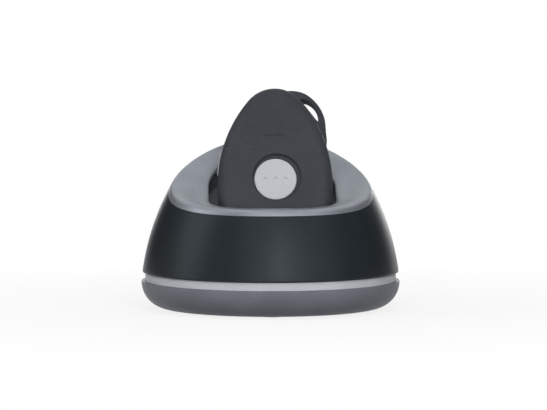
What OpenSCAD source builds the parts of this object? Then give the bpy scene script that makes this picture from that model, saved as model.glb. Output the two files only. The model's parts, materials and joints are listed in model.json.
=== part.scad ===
// Emergency call pendant standing in its round charging dock.
// Millimetres. The origin is on the dock's axis at table level, +Z is up and the front faces -Y.
// The pendant has its own frame: x to its right, y to its back and z up along its length.

/* [Base] */
// Largest radius of the dock
base_r = 48.3; // [46:0.1:54]
// Height of the base from its underside to its upper edge
base_h = 10.2; // [10:0.1:13]
// Radius of the rounded edge round the underside
base_edge_r = 9.9; // [8:0.1:10]
// Thickness of the base's wall and floor
base_wall = 2; // [1.6:0.1:2.4]
// Radius of a rubber foot
foot_r = 4.5; // [3:0.1:6]
// Thickness of a rubber foot
foot_t = 1.2; // [1:0.1:1.6]
// How far a foot stands proud of the underside
foot_proud = 0.6; // [0.4:0.1:0.9]
// Radius of the circle that the feet stand on
foot_circle_r = 29; // [26:0.5:31]
// Thickness of the steel ballast
ballast_t = 5; // [3:0.5:6]
// Depth of the steel ballast from front to back
ballast_d = 23; // [16:0.5:24]

/* [Light ring] */
// Height of the light ring that shows
ring_h = 3.2; // [2.8:0.1:5]
// How far the ring's face lies inside the dock's largest radius
ring_inset = 1.4; // [1:0.1:2]
// Width of the ring across its section
ring_w = 5.4; // [4.5:0.1:6]
// Width of the ring-shaped light board
light_board_w = 3.8; // [3.2:0.1:4.5]
// Thickness of the light board
light_board_t = 1; // [0.8:0.1:1.2]
// Count of light emitters round the ring
led_count = 8; // [4:1:16]

/* [Dome and top plate] */
// How far the dome's lower edge lies inside the dock's largest radius
dome_inset = 0.3; // [0.1:0.1:0.8]
// Radius of the dome's profile arc
dome_arc_r = 93.3; // [88:0.1:105]
// Height of the dome's lower edge above the level where its arc is widest
dome_arc_drop = 12.1; // [8:0.1:14]
// Thickness of the dome's wall
dome_wall = 1.8; // [1.5:0.1:2.2]
// Height of the lip's crest at the front, above the dome's lower edge
lip_rise = 26.4; // [24:0.1:28]
// Radius of the scoop across the top, at the lip's crest
scoop_r = 107.1; // [100:0.1:120]
// Height of the lip that shows
lip_h = 2.3; // [1.8:0.1:2.5]
// Width of the lip from the dome's face to the dish
lip_w = 3.4; // [3.2:0.1:5]
// Depth of the dish under the lip's crest
dish_depth = 1.2; // [1:0.1:1.6]
// Thickness of the plate under the dish
plate_t = 2; // [1.7:0.1:2.2]

/* [Pocket and charging contacts] */
// Lean of the docked pendant from upright, in degrees
lean = 20; // [18:0.5:24]
// Place of the pocket to the right of the dock's axis
pocket_x = 1.5; // [0:0.1:2]
// Height of the docked pendant's lower end above the dome's lower edge
seat_rise = 10.8; // [10:0.1:13]
// Distance of the docked pendant's lower end behind the lip's front crest
seat_back = 23.5; // [22.5:0.1:25]
// Clearance between the pendant and the pocket
pocket_gap = 0.4; // [0.3:0.05:0.6]
// Mean clearance between the pendant's flanks and the plate's mouth
mouth_gap = 2.25; // [2:0.05:2.5]
// How far the mouth's middle lies to the left of the pendant's
mouth_shift = 1; // [0.6:0.1:1.2]
// Room in front of the pendant in the plate's mouth
mouth_front = 5.4; // [4.5:0.1:5.8]
// Room behind the pendant in the plate's mouth
mouth_back = 14.8; // [12:0.1:15.5]
// Corner radius of the plate's mouth
mouth_corner_r = 13.5; // [12:0.5:14.5]
// Depth of the liner's tray under the plate
tray_depth = 4; // [3:0.1:4.5]
// Wall of the pocket liner
liner_wall = 1.6; // [1.2:0.1:2]
// Distance between the two charging contacts
contact_pitch = 8; // [7:0.1:9]
// Radius of a contact pin's tip
pin_r = 0.75; // [0.6:0.05:0.9]
// Travel of a contact pin
pin_travel = 0.7; // [0.4:0.1:1]
// Outer radius of a contact barrel
barrel_r = 1.5; // [1.4:0.05:1.8]
// Length of a contact barrel
barrel_l = 6; // [5.5:0.1:8]

/* [Dock electronics] */
// Width of the charging board
dock_board_w = 32; // [24:0.5:33]
// Length of the charging board
dock_board_l = 38; // [30:0.5:39]
// Thickness of the charging board
dock_board_t = 1.6; // [1:0.1:1.6]
// Height of the board's supports on the base's floor
standoff_h = 1.1; // [0.8:0.1:1.4]
// Width of the power socket
socket_w = 8.94; // [8.9:0.02:9.1]
// Height of the power socket
socket_h = 3.26; // [3.2:0.02:3.4]
// Length of the power socket
socket_l = 7.4; // [6.5:0.1:9]
// Width of the plug recess in the back of the base
plug_recess_w = 12.5; // [12:0.1:14]
// Height of the plug recess
plug_recess_h = 6.2; // [5.5:0.1:6.6]
// Depth of the plug recess
plug_recess_d = 6.8; // [6:0.1:8]

/* [Pendant body] */
// Length of the pendant
pendant_h = 60; // [58.5:0.5:65]
// Width of the pendant at its widest
pendant_w = 42.8; // [41.5:0.1:44]
// Thickness of the pendant
pendant_t = 16; // [15.5:0.1:17]
// Radius of the long side curves
side_r = 50.2; // [46:0.1:58]
// Radius of the upper tip
tip_r = 12.8; // [11:0.1:14]
// Radius of the lower corners
corner_r = 9; // [7:0.1:11]
// Width of the rounded edge round the face
edge_w = 2.6; // [2.2:0.1:3.6]
// Depth of the rounded edges
edge_d = 4.5; // [3.5:0.1:5]
// Wall of the pendant's shells
shell_wall = 1.6; // [1.3:0.1:1.9]
// Depth of the front shell, from the face to the middle of the seal
front_d = 7.5; // [7:0.1:8]
// Thickness of the seal between the shells
seal_t = 0.5; // [0.3:0.1:0.8]
// Length of the sound slit over the loudspeaker
slit_l = 8.3; // [6:0.1:10]
// Width of the sound slit
slit_w = 0.4; // [0.3:0.05:0.8]

/* [Call button] */
// Height of the button's centre above the pendant's lower end
button_z = 24.1; // [23.5:0.1:26]
// Radius of the button's cap
button_r = 7.9; // [7.5:0.05:8.1]
// Depth of the button's face under the pendant's face
button_sink = 0.6; // [0.4:0.1:0.9]
// Travel of the button
button_travel = 0.6; // [0.3:0.1:0.7]
// Radius of the recess round the button
recess_r = 9; // [8.9:0.05:9.4]
// Depth of the recess round the button
recess_depth = 1.1; // [0.9:0.1:1.2]
// Offset of the recess from the button's centre, to the right and upwards
recess_shift = 0.55; // [0:0.05:0.6]

/* [Side key] */
// Height of the side key's centre above the pendant's lower end
key_z = 32.4; // [31:0.1:34]
// Length of the side key
key_l = 8.8; // [7:0.1:10]
// Thickness of the side key
key_t = 2.4; // [1.8:0.1:2.8]
// How far the side key stands out of the flank
key_proud = 0.45; // [0.3:0.05:0.8]
// Travel of the side key
key_travel = 0.4; // [0.2:0.1:0.4]

/* [Lanyard loop] */
// Radius of the loop's outer curve
loop_r = 13; // [12.6:0.1:13.6]
// Height of the loop's centre under the pendant's top
loop_drop = 12.4; // [12:0.1:12.8]
// Place of the loop's centre to the right
loop_x = 6.2; // [5.8:0.1:6.6]
// Depth of the loop where it leaves the body
loop_t = 6.5; // [5.5:0.1:7]
// Backward slope of the loop's front, in degrees
loop_slope = 25; // [15:1:28]
// Thickness of the loop's ring at its middle
loop_ring = 1.7; // [1.4:0.05:2.2]
// Bulge of the lanyard slot across its middle
slot_w = 2.6; // [2:0.1:2.8]
// Length of the slot's straight side
slot_l = 10.6; // [9:0.1:11]
// Slope of the slot downwards to the right, in degrees
slot_slope = 50; // [47:1:54]

/* [Pendant electronics] */
// Room in front of the pendant's board
front_room = 4.8; // [4.7:0.1:5.2]
// Thickness of the pendant's board
board_t = 1; // [0.8:0.1:1.2]
// Clearance between the battery and the side key's switch
battery_gap = 0.9; // [0.5:0.1:3]
// Length of the battery
battery_l = 29; // [24:0.5:30]
// Thickness of the battery
battery_t = 5; // [4:0.1:5.2]
// Radius of the loudspeaker
speaker_r = 6; // [5:0.1:6.5]
// Thickness of the loudspeaker
speaker_t = 3; // [2.5:0.1:3.4]
// Side of the square positioning antenna
patch_w = 12; // [10:0.5:13]
// Thickness of the positioning antenna
patch_t = 4; // [3:0.1:4.5]
// Radius of the vibration motor
motor_r = 4; // [3:0.1:4.5]
// Thickness of the vibration motor
motor_t = 2.7; // [2:0.1:3]

/* [Fasteners] */
// Shank radius of a base screw
base_screw_r = 1.25; // [1:0.05:1.4]
// Head radius of a base screw
base_screw_head_r = 2.6; // [2.2:0.1:2.8]
// Length of a base screw's shank
base_screw_l = 18; // [14:0.5:20]
// Shank radius of the small screws
small_screw_r = 0.8; // [0.7:0.05:0.9]
// Head radius of the small screws
small_screw_head_r = 1.5; // [1.4:0.05:1.6]
// Head height of the small screws
small_screw_head_h = 1.1; // [0.8:0.1:1.2]

/* [Clearances] */
// Radial clearance of a sliding or running fit
run_gap = 0.1; // [0.05:0.01:0.15]
// Clearance round a screw or a seated piece
seat_gap = 0.05; // [0.02:0.01:0.1]
// Clearance between neighbours inside the casings
inner_gap = 0.3; // [0.2:0.05:0.5]

/* [Hidden] */
$fn = 64;
// The dome's and the scoop's large curves are drawn finer
wide_fn = 128;
far = 200;
nick = 0.5;

// Levels and radii of the dock, from the table up
base_top = foot_proud + base_h;
floor_top = foot_proud + base_wall;
flat_r = base_r - base_edge_r;
edge_z = foot_proud + base_edge_r;
ring_out = base_r - ring_inset;
ring_in = ring_out - ring_w;
light_board_out = ring_in - inner_gap;
light_board_in = light_board_out - light_board_w;
shelf_w = light_board_w / 2;
shelf_in = light_board_out - shelf_w;
shelf_t = 1.6;
led_size = [1.2, 2.8, 1.2];
dome_bottom = base_top + ring_h;
dome_r = base_r - dome_inset;
dome_arc_z = dome_bottom - dome_arc_drop;
dome_arc_x = dome_r - sqrt(pow(dome_arc_r, 2) - pow(dome_arc_drop, 2));
flange_t = 1.4;

// Screw posts between the base and the dome
boss_wall = 1.5;
base_boss_r = base_screw_head_r + run_gap + boss_wall;
dome_boss_wall = 2;
dome_boss_r = base_screw_r + seat_gap + dome_boss_wall;
dome_boss_h = 19;
boss_circle_r = light_board_in - inner_gap - base_boss_r;
boss_angles = [-25, 46, 134, 205];
boss_rib_t = 2;
screw_head_h = 1.7;
screw_floor = 1;
screw_seat_z = floor_top + screw_floor;
screw_tip_z = screw_seat_z + base_screw_l;
screw_cross = [3, 0.7, 1.6];

// The scoop's lowest line touches the dome's front at the height of the lip's crest
lip_z = dome_bottom + lip_rise;
scoop_y = -(dome_arc_x + sqrt(pow(dome_arc_r, 2) - pow(lip_z - dome_arc_z, 2)));
scoop_z = lip_z + scoop_r;
dish_r = scoop_r + dish_depth;
under_r = dish_r + plate_t;
tray_r = under_r + tray_depth;

// Plug recess and charging board
plug_floor_y = base_r - plug_recess_d;
socket_mouth_y = plug_floor_y - inner_gap;
plug_recess_wall = 1.8;
socket_overhang = 3.2;
dock_board_rear = socket_mouth_y - socket_overhang;
dock_board_z = floor_top + standoff_h;
dock_board_top = dock_board_z + dock_board_t;
socket_z = dock_board_top + socket_h / 2;
plug_recess_roof = 0.8;
plug_recess_z = base_top - plug_recess_roof - plug_recess_h / 2;
plug_recess_corner_r = 1.5;
socket_corner_r = 1.2;
standoff_r = 2.4;
board_hole_inset = 3.4;
socket_skin = 0.3;
tongue_foot = 1.6;
tongue_side = 1;
tongue_t = 0.7;
flex_t = 0.25;
flex_tail = 2;
flex_bend = 1;
flex_drop = 2.5;
light_flex_x = 9;
light_flex_w = 4;
contact_flex_w = 5;

// Outline of the pendant from tangent arcs
side_x = side_r - pendant_w / 2;
tip_z = pendant_h - tip_r;
side_z = tip_z - sqrt(pow(side_r - tip_r, 2) - pow(side_x, 2));
corner_x = sqrt(pow(side_r - corner_r, 2) - pow(side_z - corner_r, 2)) - side_x;
corner_a = atan2(corner_r - side_z, corner_x + side_x);
tip_a = atan2(tip_z - side_z, side_x);
corner_steps = 7;
side_steps = 12;
tip_steps = 14;
edge_steps = 5;

// Layers of the pendant from its face to its back
face_y = -pendant_t / 2;
back_y = pendant_t / 2;
split_y = face_y + front_d;
front_rim_y = split_y - seal_t / 2;
rear_rim_y = split_y + seal_t / 2;
board_y = face_y + shell_wall + front_room;
board_back_y = board_y + board_t;
board_edge_gap = 1.4;
board_inset = shell_wall + board_edge_gap;
seal_inset = 0.35;

// Call button and its switch
recess_y = face_y + recess_depth;
button_face_y = face_y + button_sink;
collar_wall = 1.6;
seal_ring_w = 0.75;
seal_ring_t = 0.6;
button_bore_r = button_r + run_gap;
collar_r = button_bore_r + seal_ring_w + collar_wall;
collar_l = 2.1;
collar_end_y = recess_y + collar_l;
seal_groove_d = 0.8;
seal_groove_y = recess_y + seal_groove_d;
flange_y = collar_end_y + inner_gap;
button_flange_t = 0.6;
button_flange_w = 0.8;
button_flange_r = button_bore_r + button_flange_w;
stem_r = 1.5;
switch_w = 6;
switch_h = board_y - flange_y - button_flange_t - button_travel - inner_gap;
switch_front_y = board_y - switch_h;
stem_floor = 0.3;
stem_end_y = board_y - button_travel - stem_floor - run_gap;

// Side key and its switch
key_y = rear_rim_y + inner_gap + key_t / 2 + nick;
key_flange_t = 0.5;
key_flange_w = 0.6;
key_top_z = key_z + key_l / 2 + key_flange_w;
key_back_x = -(inset_width(key_top_z, shell_wall + run_gap) - key_flange_t);
key_switch_x = key_back_x + key_travel + inner_gap;
key_switch_l = 3;
battery_w = -2 * (key_switch_x + key_switch_l + battery_gap);
key_switch_w = 4.8;
key_switch_h = 2 * (key_y - board_back_y);
key_stem_r = 0.7;
key_stem_in = 0.8;
key_stem_bore_l = 2;

// Loudspeaker, antenna and motor
speaker_z = button_z + collar_r + speaker_r + 2 * inner_gap;
slit_arc_r = speaker_z - button_z;
gasket_t = 0.4;
gasket_w = 1.2;
mesh_t = 0.15;
speaker_y = face_y + shell_wall + gasket_t;
battery_z = 6;
patch_gap = 4;
patch_z = battery_z + battery_l + patch_gap + patch_w / 2;
mic_size = [3, 1.1, 4];
mic_edge = 1;
mic_z = battery_z + battery_l + patch_gap + 0.5;
mic_x = -(inset_width(mic_z, board_inset) - mic_edge - mic_size[0] / 2);
mic_port_r = 0.6;
motor_edge = 3.6;
motor_z = 10.5;
motor_x = -(inset_width(motor_z, board_inset) - motor_edge - motor_r);
shield_size = [12, 2.2, 8];
shield_gap = 3.5;
shield_z = 7;
strip_t = 0.3;
strip_w = 3;
strip_rise = 4;

// Screw posts in the pendant
post_r = 2.1;
low_post_z = 19.5;
high_post_z = 46.4;
low_post_gap = 1.2;
board_web = 0.6;
low_post_x = inset_width(low_post_z, shell_wall + post_r + low_post_gap);
high_post_x = inset_width(high_post_z, board_inset + board_web + inner_gap + post_r);
posts = [
  [low_post_x, low_post_z],
  [-low_post_x, low_post_z],
  [high_post_x, high_post_z],
  [-high_post_x, high_post_z]
];
post_seat_d = 3;
post_seat_y = back_y - post_seat_d;
post_hole_floor = 1;

// Lanyard loop and its slot, straight on the inner side and curved on the outer
loop_z = pendant_h - loop_drop;
loop_low_z = loop_z - 0.8 * loop_r;
loop_bend_z = loop_z - 0.415 * loop_r;
loop_bend_out = 0.45;
loop_foot_in = 0.2;
loop_flat = 5;
loop_front_y = rear_rim_y + nick;
slot_chord = loop_r - loop_ring - slot_w;
slot_r = (slot_l * slot_l / 4 + slot_w * slot_w) / (2 * slot_w);

// Place of the docked pendant and of the contacts under it
seat_y = scoop_y + seat_back;
seat_z = dome_bottom + seat_rise;
contact_y = face_y + edge_d + inner_gap;
pad_r = 1.5;
pad_face_z = 0.1;
pin_tip_gap = 0.08;
pin_tip_z = pad_face_z - pin_tip_gap;
pad_tail_r = 0.5;
pad_tail_l = 3;
pad_head_in = 0.6;
liner_low_z = -(pocket_gap + liner_wall);
block_top_z = liner_low_z - seat_gap;
block_floor = 0.4;
block_low_z = block_top_z - barrel_l - block_floor;
block_side = 5;
block_w = contact_pitch + 2 * block_side;
block_d = 6;
barrel_cap = 0.4;
barrel_floor_z = block_top_z - barrel_l + barrel_cap;
barrel_wall = 0.4;
pin_shoulder_r = barrel_r - barrel_wall - seat_gap;
spring_pressed_l = 2.3;
shoulder_low_z = barrel_floor_z + spring_pressed_l + pin_travel;
shoulder_l = 1.2;
shoulder_top_z = shoulder_low_z + shoulder_l;
block_screw_in = 2;
block_screw_x = block_w / 2 - block_screw_in;
block_screw_end_z = -pocket_gap - liner_wall / 2;
ear_out = 8.5;
ear_back = 10;
ear_rise = 7;
ear_root = 4;
ear_x = pendant_w / 2 + ear_out;
ear_y = seat_y + ear_back;
ear_z = seat_z + ear_rise;
ear_t = 2;
ear_r = 3;
ear_boss_r = 2.4;
ear_boss_h = 12;
ear_screw_l = 6;
contact_xs = [-contact_pitch / 2, contact_pitch / 2];

// Half the width of the pendant's outline, drawn in by an inset, at a height within its long side curves
function inset_width(z, d) = sqrt(pow(side_r - d, 2) - pow(z - side_z, 2)) - side_x;
function half_width(z) = inset_width(z, 0);

// Points of an arc, without its last point
function arc(x, z, r, a0, a1, n) = [
  for (i = [0 : n - 1])
    let (a = a0 + (a1 - a0) * i / n)
    [x + r * cos(a), z + r * sin(a)]
];

// The pendant's outline, drawn in by an inset, anticlockwise from the lower right
function outline(d) = concat(
  arc(corner_x, corner_r, corner_r - d, -90, corner_a, corner_steps),
  arc(-side_x, side_z, side_r - d, corner_a, tip_a, side_steps),
  arc(0, tip_z, tip_r - d, tip_a, 180 - tip_a, tip_steps),
  arc(side_x, side_z, side_r - d, 180 - tip_a, 180 - corner_a, side_steps),
  arc(-corner_x, corner_r, corner_r - d, 180 - corner_a, 270, corner_steps),
  [[-corner_x, d]]
);

// Depth and inset of the layers round a rounded edge, from the flat face to the flank
function edge_layers(d) = [
  for (i = [0 : edge_steps])
    let (a = 90 * (1 - i / edge_steps))
    [(edge_d - d) * (1 - sin(a)) + d, d + (edge_w - d) * (1 - cos(a))]
];
function front_layers(d) = [for (l = edge_layers(d)) [face_y + l[0], l[1]]];
function rear_layers(d) = [for (i = [edge_steps : -1 : 0]) let (l = edge_layers(d)[i]) [back_y - l[0], l[1]]];

// Body through layers of [depth, inset], each with the pendant's outline
module loft(layers) {
  n = len(outline(0));
  last = len(layers) - 1;
  points = [for (l = layers) for (p = outline(l[1])) [p[0], l[0], p[1]]];
  front_cap = [[for (i = [n - 1 : -1 : 0]) i]];
  back_cap = [[for (i = [0 : n - 1]) last * n + i]];
  sides = [
    for (k = [0 : last - 1])
      for (i = [0 : n - 1])
        let (j = (i + 1) % n)
        [k * n + i, k * n + j, (k + 1) * n + j, (k + 1) * n + i]
  ];
  polyhedron(points, concat(front_cap, back_cap, sides), convexity = 4);
}

// Flat shape in the pendant's outline plane, given depth from y0 to y1
module slab(y0, y1) {
  translate([0, y1, 0]) rotate([90, 0, 0]) linear_extrude(y1 - y0) children();
}

// Round bar along the pendant's depth
module bar_y(x, z, r, y0, y1) {
  translate([x, y0, z]) rotate([-90, 0, 0]) cylinder(r = r, h = y1 - y0);
}

// Round bar along the pendant's length
module bar_z(x, y, r, z0, z1) {
  translate([x, y, z0]) cylinder(r = r, h = z1 - z0);
}

// Rectangle with round corners, given half sizes
module round_rect(hx, hy, r) {
  square([2 * hx, 2 * (hy - r)], center = true);
  square([2 * (hx - r), 2 * hy], center = true);
  for (x = [-1, 1], y = [-1, 1]) translate([x * (hx - r), y * (hy - r)]) circle(r = r);
}

// Puts what is drawn in the pendant's frame where it stands in the dock
module docked() {
  translate([pocket_x, seat_y, seat_z]) rotate([-lean, 0, 0]) children();
}

// Solid inside the dome's profile, drawn in by an inset, from a level up
module dome_solid(d, z0) {
  rotate_extrude() intersection() {
    translate([dome_arc_x, dome_arc_z]) circle(r = dome_arc_r - d, $fn = wide_fn);
    translate([0, z0]) square([dome_r + 1, far / 2]);
  }
}

// Cylinder of the scoop that lies across the dock's top
module scoop(r) {
  translate([-far / 2, scoop_y, scoop_z]) rotate([0, 90, 0]) cylinder(r = r, h = far, $fn = wide_fn);
}

// Solid inside the base's profile, drawn in by a wall
module base_solid(d, top) {
  rotate_extrude() {
    translate([0, foot_proud + d]) square([flat_r, top - foot_proud - d]);
    translate([0, edge_z]) square([base_r - d, top - edge_z]);
    intersection() {
      translate([flat_r, edge_z]) circle(r = base_edge_r - d);
      translate([flat_r - nick, 0]) square([base_r, edge_z + nick / 10]);
    }
  }
}

// Ring between two radii and two levels
module ring(r_in, r_out, z0, z1) {
  translate([0, 0, z0]) difference() {
    cylinder(r = r_out, h = z1 - z0);
    translate([0, 0, -1]) cylinder(r = r_in, h = z1 - z0 + 2);
  }
}

// Repeats at each screw post of the dock
module at_bosses() {
  for (a = boss_angles) rotate(a) translate([boss_circle_r, 0, 0]) children();
}

// Repeats at each foot
module at_feet() {
  for (a = [0 : 90 : 270]) rotate(a) translate([foot_circle_r, 0, 0]) children();
}

// Repeats at each corner hole of the charging board
module at_board_holes() {
  front_y = dock_board_rear - dock_board_l + board_hole_inset;
  rear_y = dock_board_rear - 3 * board_hole_inset;
  for (x = [-1, 1], y = [front_y, rear_y])
    translate([x * (dock_board_w / 2 - board_hole_inset), y, 0]) children();
}

// Repeats at each side of the pocket liner, where it is screwed to the plate
module at_ears() {
  for (s = [-1, 1]) translate([pocket_x + s * ear_x, ear_y, 0]) children();
}

// Cup-shaped lower casing with screw posts, board supports, light shelf and plug recess
module base_shell() {
  color("slategray") difference() {
    union() {
      difference() {
        base_solid(0, base_top);
        base_solid(base_wall, base_top + 1);
      }
      ring(shelf_in, base_r - base_wall + nick, base_top - shelf_t, base_top);
      at_bosses() translate([0, 0, floor_top - nick])
        cylinder(r = base_boss_r, h = dome_bottom - floor_top + nick);
      at_board_holes() translate([0, 0, floor_top - nick]) cylinder(r = standoff_r, h = standoff_h + nick);
      intersection() {
        base_solid(nick, base_top);
        translate([-plug_recess_w / 2 - plug_recess_wall, plug_floor_y - plug_recess_wall, 0])
          cube([plug_recess_w + 2 * plug_recess_wall, far, base_top]);
      }
    }
    at_bosses() translate([0, 0, -1]) cylinder(r = base_screw_head_r + run_gap, h = screw_seat_z + 1);
    at_bosses() cylinder(r = base_screw_r + run_gap, h = far);
    at_feet() cylinder(r = foot_r + seat_gap, h = foot_t);
    at_board_holes() translate([0, 0, floor_top - base_wall / 2])
      cylinder(r = small_screw_r + seat_gap, h = base_wall + standoff_h);
    translate([0, far / 2 + plug_floor_y, plug_recess_z])
      rotate([90, 0, 0]) linear_extrude(far / 2)
        round_rect(plug_recess_w / 2, plug_recess_h / 2, plug_recess_corner_r);
    translate([0, plug_floor_y + nick, socket_z]) rotate([90, 0, 0])
      linear_extrude(plug_recess_wall + 1)
        round_rect(socket_w / 2 + run_gap, socket_h / 2 + run_gap, socket_corner_r);
  }
}

// Steel block that keeps the dock steady, set between the front posts
module ballast_plate() {
  half_w = boss_circle_r * cos(boss_angles[0]) - base_boss_r - 2 * inner_gap;
  y0 = dock_board_rear - dock_board_l - 4 * inner_gap - ballast_d;
  color("silver") translate([-half_w, y0, floor_top]) cube([2 * half_w, ballast_d, ballast_t]);
}

module rubber_feet() {
  color("black") at_feet() cylinder(r = foot_r, h = foot_t);
}

// Screws that hold the base to the dome, driven from below
module base_screws() {
  color("silver") at_bosses() difference() {
    union() {
      translate([0, 0, screw_seat_z - screw_head_h]) cylinder(r = base_screw_head_r, h = screw_head_h);
      translate([0, 0, screw_seat_z]) cylinder(r = base_screw_r, h = base_screw_l);
    }
    translate([0, 0, screw_seat_z - screw_head_h]) cube(screw_cross, center = true);
    translate([0, 0, screw_seat_z - screw_head_h]) rotate(90) cube(screw_cross, center = true);
  }
}

module light_ring() {
  color("gainsboro") ring(ring_in, ring_out, base_top, dome_bottom);
}

module light_board() {
  color("darkgreen") ring(light_board_in, light_board_out, base_top, base_top + light_board_t);
}

module light_leds() {
  color("white") for (i = [0 : led_count - 1]) rotate(360 * (i + 0.5) / led_count)
    translate([light_board_out - led_size[0] - inner_gap, -led_size[1] / 2, base_top + light_board_t])
      cube(led_size);
}

module dock_board() {
  color("darkgreen") difference() {
    translate([-dock_board_w / 2, dock_board_rear - dock_board_l, dock_board_z])
      cube([dock_board_w, dock_board_l, dock_board_t]);
    at_board_holes() cylinder(r = small_screw_r + seat_gap, h = far);
  }
}

module dock_board_screws() {
  color("silver") at_board_holes() {
    translate([0, 0, dock_board_top]) cylinder(r = small_screw_head_r, h = small_screw_head_h);
    translate([0, 0, floor_top - base_wall / 2 + inner_gap])
      cylinder(r = small_screw_r, h = dock_board_top - floor_top + base_wall / 2 - inner_gap);
  }
}

// Metal shell of the power socket, open towards the back of the dock
module power_socket() {
  color("silver") translate([0, socket_mouth_y, socket_z]) rotate([90, 0, 0]) difference() {
    linear_extrude(socket_l) round_rect(socket_w / 2, socket_h / 2, socket_corner_r);
    translate([0, 0, -1]) linear_extrude(socket_l + 1 - socket_skin)
      round_rect(socket_w / 2 - socket_skin, socket_h / 2 - socket_skin, socket_corner_r - socket_skin);
  }
}

// Plastic tongue inside the power socket
module socket_tongue() {
  depth = socket_l - socket_skin;
  foot_w = socket_w - 2 * tongue_side;
  color("black") translate([0, socket_mouth_y - depth, socket_z]) {
    translate([0, tongue_foot / 2, 0])
      cube([foot_w, tongue_foot, socket_h - 2 * socket_skin - 2 * run_gap], center = true);
    translate([0, depth / 2, 0]) cube([foot_w - 2 * run_gap, depth - tongue_side, tongue_t], center = true);
  }
}

// Flat ribbon along points in the plane of y and z, as thick as its shift
module ribbon(x, w, shift, points) {
  upper = [for (i = [len(points) - 1 : -1 : 0]) points[i] + shift];
  translate([x - w / 2, 0, 0]) rotate([90, 0, 90]) linear_extrude(w) polygon(concat(points, upper));
}

// Ribbon from the light board down to the charging board
module light_flex() {
  y_top = sqrt(pow((light_board_in + shelf_in) / 2, 2) - light_flex_x * light_flex_x);
  y_low = dock_board_rear - 1.5 * flex_bend;
  color("darkorange") ribbon(light_flex_x, light_flex_w, [-flex_t, flex_t], [
    [y_low - flex_tail, dock_board_top + seat_gap],
    [y_low, dock_board_top + seat_gap],
    [y_low + flex_bend, base_top - flex_drop],
    [y_top, base_top - flex_t - seat_gap]
  ]);
}

// Ribbon from the contact block back to the charging board
module contact_flex() {
  y_block = seat_y + block_low_z * sin(lean) + contact_y * cos(lean);
  z_block = seat_z + block_low_z * cos(lean) - contact_y * sin(lean);
  y_board = dock_board_rear - dock_board_l;
  color("darkorange") ribbon(pocket_x, contact_flex_w, [0, flex_t], [
    [y_block - flex_bend, z_block - flex_t - 2 * inner_gap],
    [y_block + flex_bend, z_block - flex_t - 2 * inner_gap - 2 * flex_bend * tan(lean)],
    [y_board - 4 * flex_tail, floor_top + ballast_t + flex_drop],
    [y_board + flex_bend, dock_board_top + 1.5 * flex_bend],
    [y_board + 3 * flex_bend, dock_board_top + seat_gap],
    [y_board + 3 * flex_tail, dock_board_top + seat_gap]
  ]);
}

// Dark dome with its lower flange and the posts for the base's screws
module dome_shell() {
  color("dimgray") difference() {
    union() {
      difference() {
        dome_solid(0, dome_bottom);
        dome_solid(dome_wall, dome_bottom - 1);
      }
      ring(ring_in - nick, dome_r - dome_wall + nick, dome_bottom, dome_bottom + flange_t);
      intersection() {
        dome_solid(nick, dome_bottom);
        at_bosses() {
          translate([0, 0, dome_bottom]) cylinder(r = dome_boss_r, h = dome_boss_h);
          translate([0, -boss_rib_t / 2, dome_bottom]) cube([far, boss_rib_t, dome_boss_h]);
        }
      }
    }
    scoop(scoop_r + lip_h);
    at_bosses() translate([0, 0, dome_bottom - 1])
      cylinder(r = base_screw_r + seat_gap, h = screw_tip_z - dome_bottom + 2);
  }
}

// Bar along the pendant's length with the outline of the plate's mouth, widened by a wall
module mouth_bar(d) {
  half_d = (pendant_t + mouth_front + mouth_back) / 2;
  docked() translate([-mouth_shift, (mouth_back - mouth_front) / 2, 0]) linear_extrude(pendant_h)
    round_rect(pendant_w / 2 + mouth_gap + d, half_d + d, mouth_corner_r + d);
}

// Silver scooped plate with its raised lip, dish and pocket mouth
module top_plate() {
  color("darkgray") {
    difference() {
      union() {
        intersection() {
          dome_solid(0, dome_bottom);
          scoop(scoop_r + lip_h);
        }
        intersection() {
          dome_solid(dome_wall + seat_gap, dome_bottom);
          scoop(under_r);
        }
      }
      scoop(scoop_r);
      intersection() {
        dome_solid(lip_w, dome_bottom);
        scoop(dish_r);
      }
      mouth_bar(0);
    }
    difference() {
      at_ears() translate([0, 0, ear_z + ear_t]) cylinder(r = ear_boss_r, h = ear_boss_h);
      scoop(dish_r + plate_t / 2);
      at_ears() translate([0, 0, ear_z]) cylinder(r = small_screw_r + seat_gap, h = ear_screw_l + 1);
    }
  }
}

// Cup that takes the pendant's lower end, with a tray round its brim that closes the plate's mouth
module pocket_liner() {
  color("black") difference() {
    union() {
      docked() loft(concat(front_layers(-pocket_gap - liner_wall), rear_layers(-pocket_gap - liner_wall)));
      for (s = [-1, 1]) translate([pocket_x, ear_y - ear_r, ear_z])
        mirror([s < 0 ? 1 : 0, 0, 0]) translate([pendant_w / 2 - ear_root, 0, 0])
          cube([ear_out + ear_root, 2 * ear_r, ear_t]);
      at_ears() translate([0, 0, ear_z]) cylinder(r = ear_r, h = ear_t);
      intersection() {
        mouth_bar(liner_wall);
        scoop(tray_r + liner_wall);
      }
    }
    docked() loft(concat(front_layers(-pocket_gap), rear_layers(-pocket_gap)));
    intersection() {
      mouth_bar(nick);
      scoop(tray_r);
    }
    scoop(under_r + seat_gap);
    at_ears() cylinder(r = small_screw_r + seat_gap, h = far);
    docked() for (x = contact_xs) bar_z(x, contact_y, pin_r + run_gap, block_low_z, 0);
    docked() for (s = [-1, 1])
      bar_z(s * block_screw_x, contact_y, small_screw_r + seat_gap, block_low_z, block_screw_end_z + inner_gap);
  }
}

module pocket_screws() {
  color("silver") at_ears() {
    translate([0, 0, ear_z - small_screw_head_h]) cylinder(r = small_screw_head_r, h = small_screw_head_h);
    translate([0, 0, ear_z]) cylinder(r = small_screw_r, h = ear_screw_l);
  }
}

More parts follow.
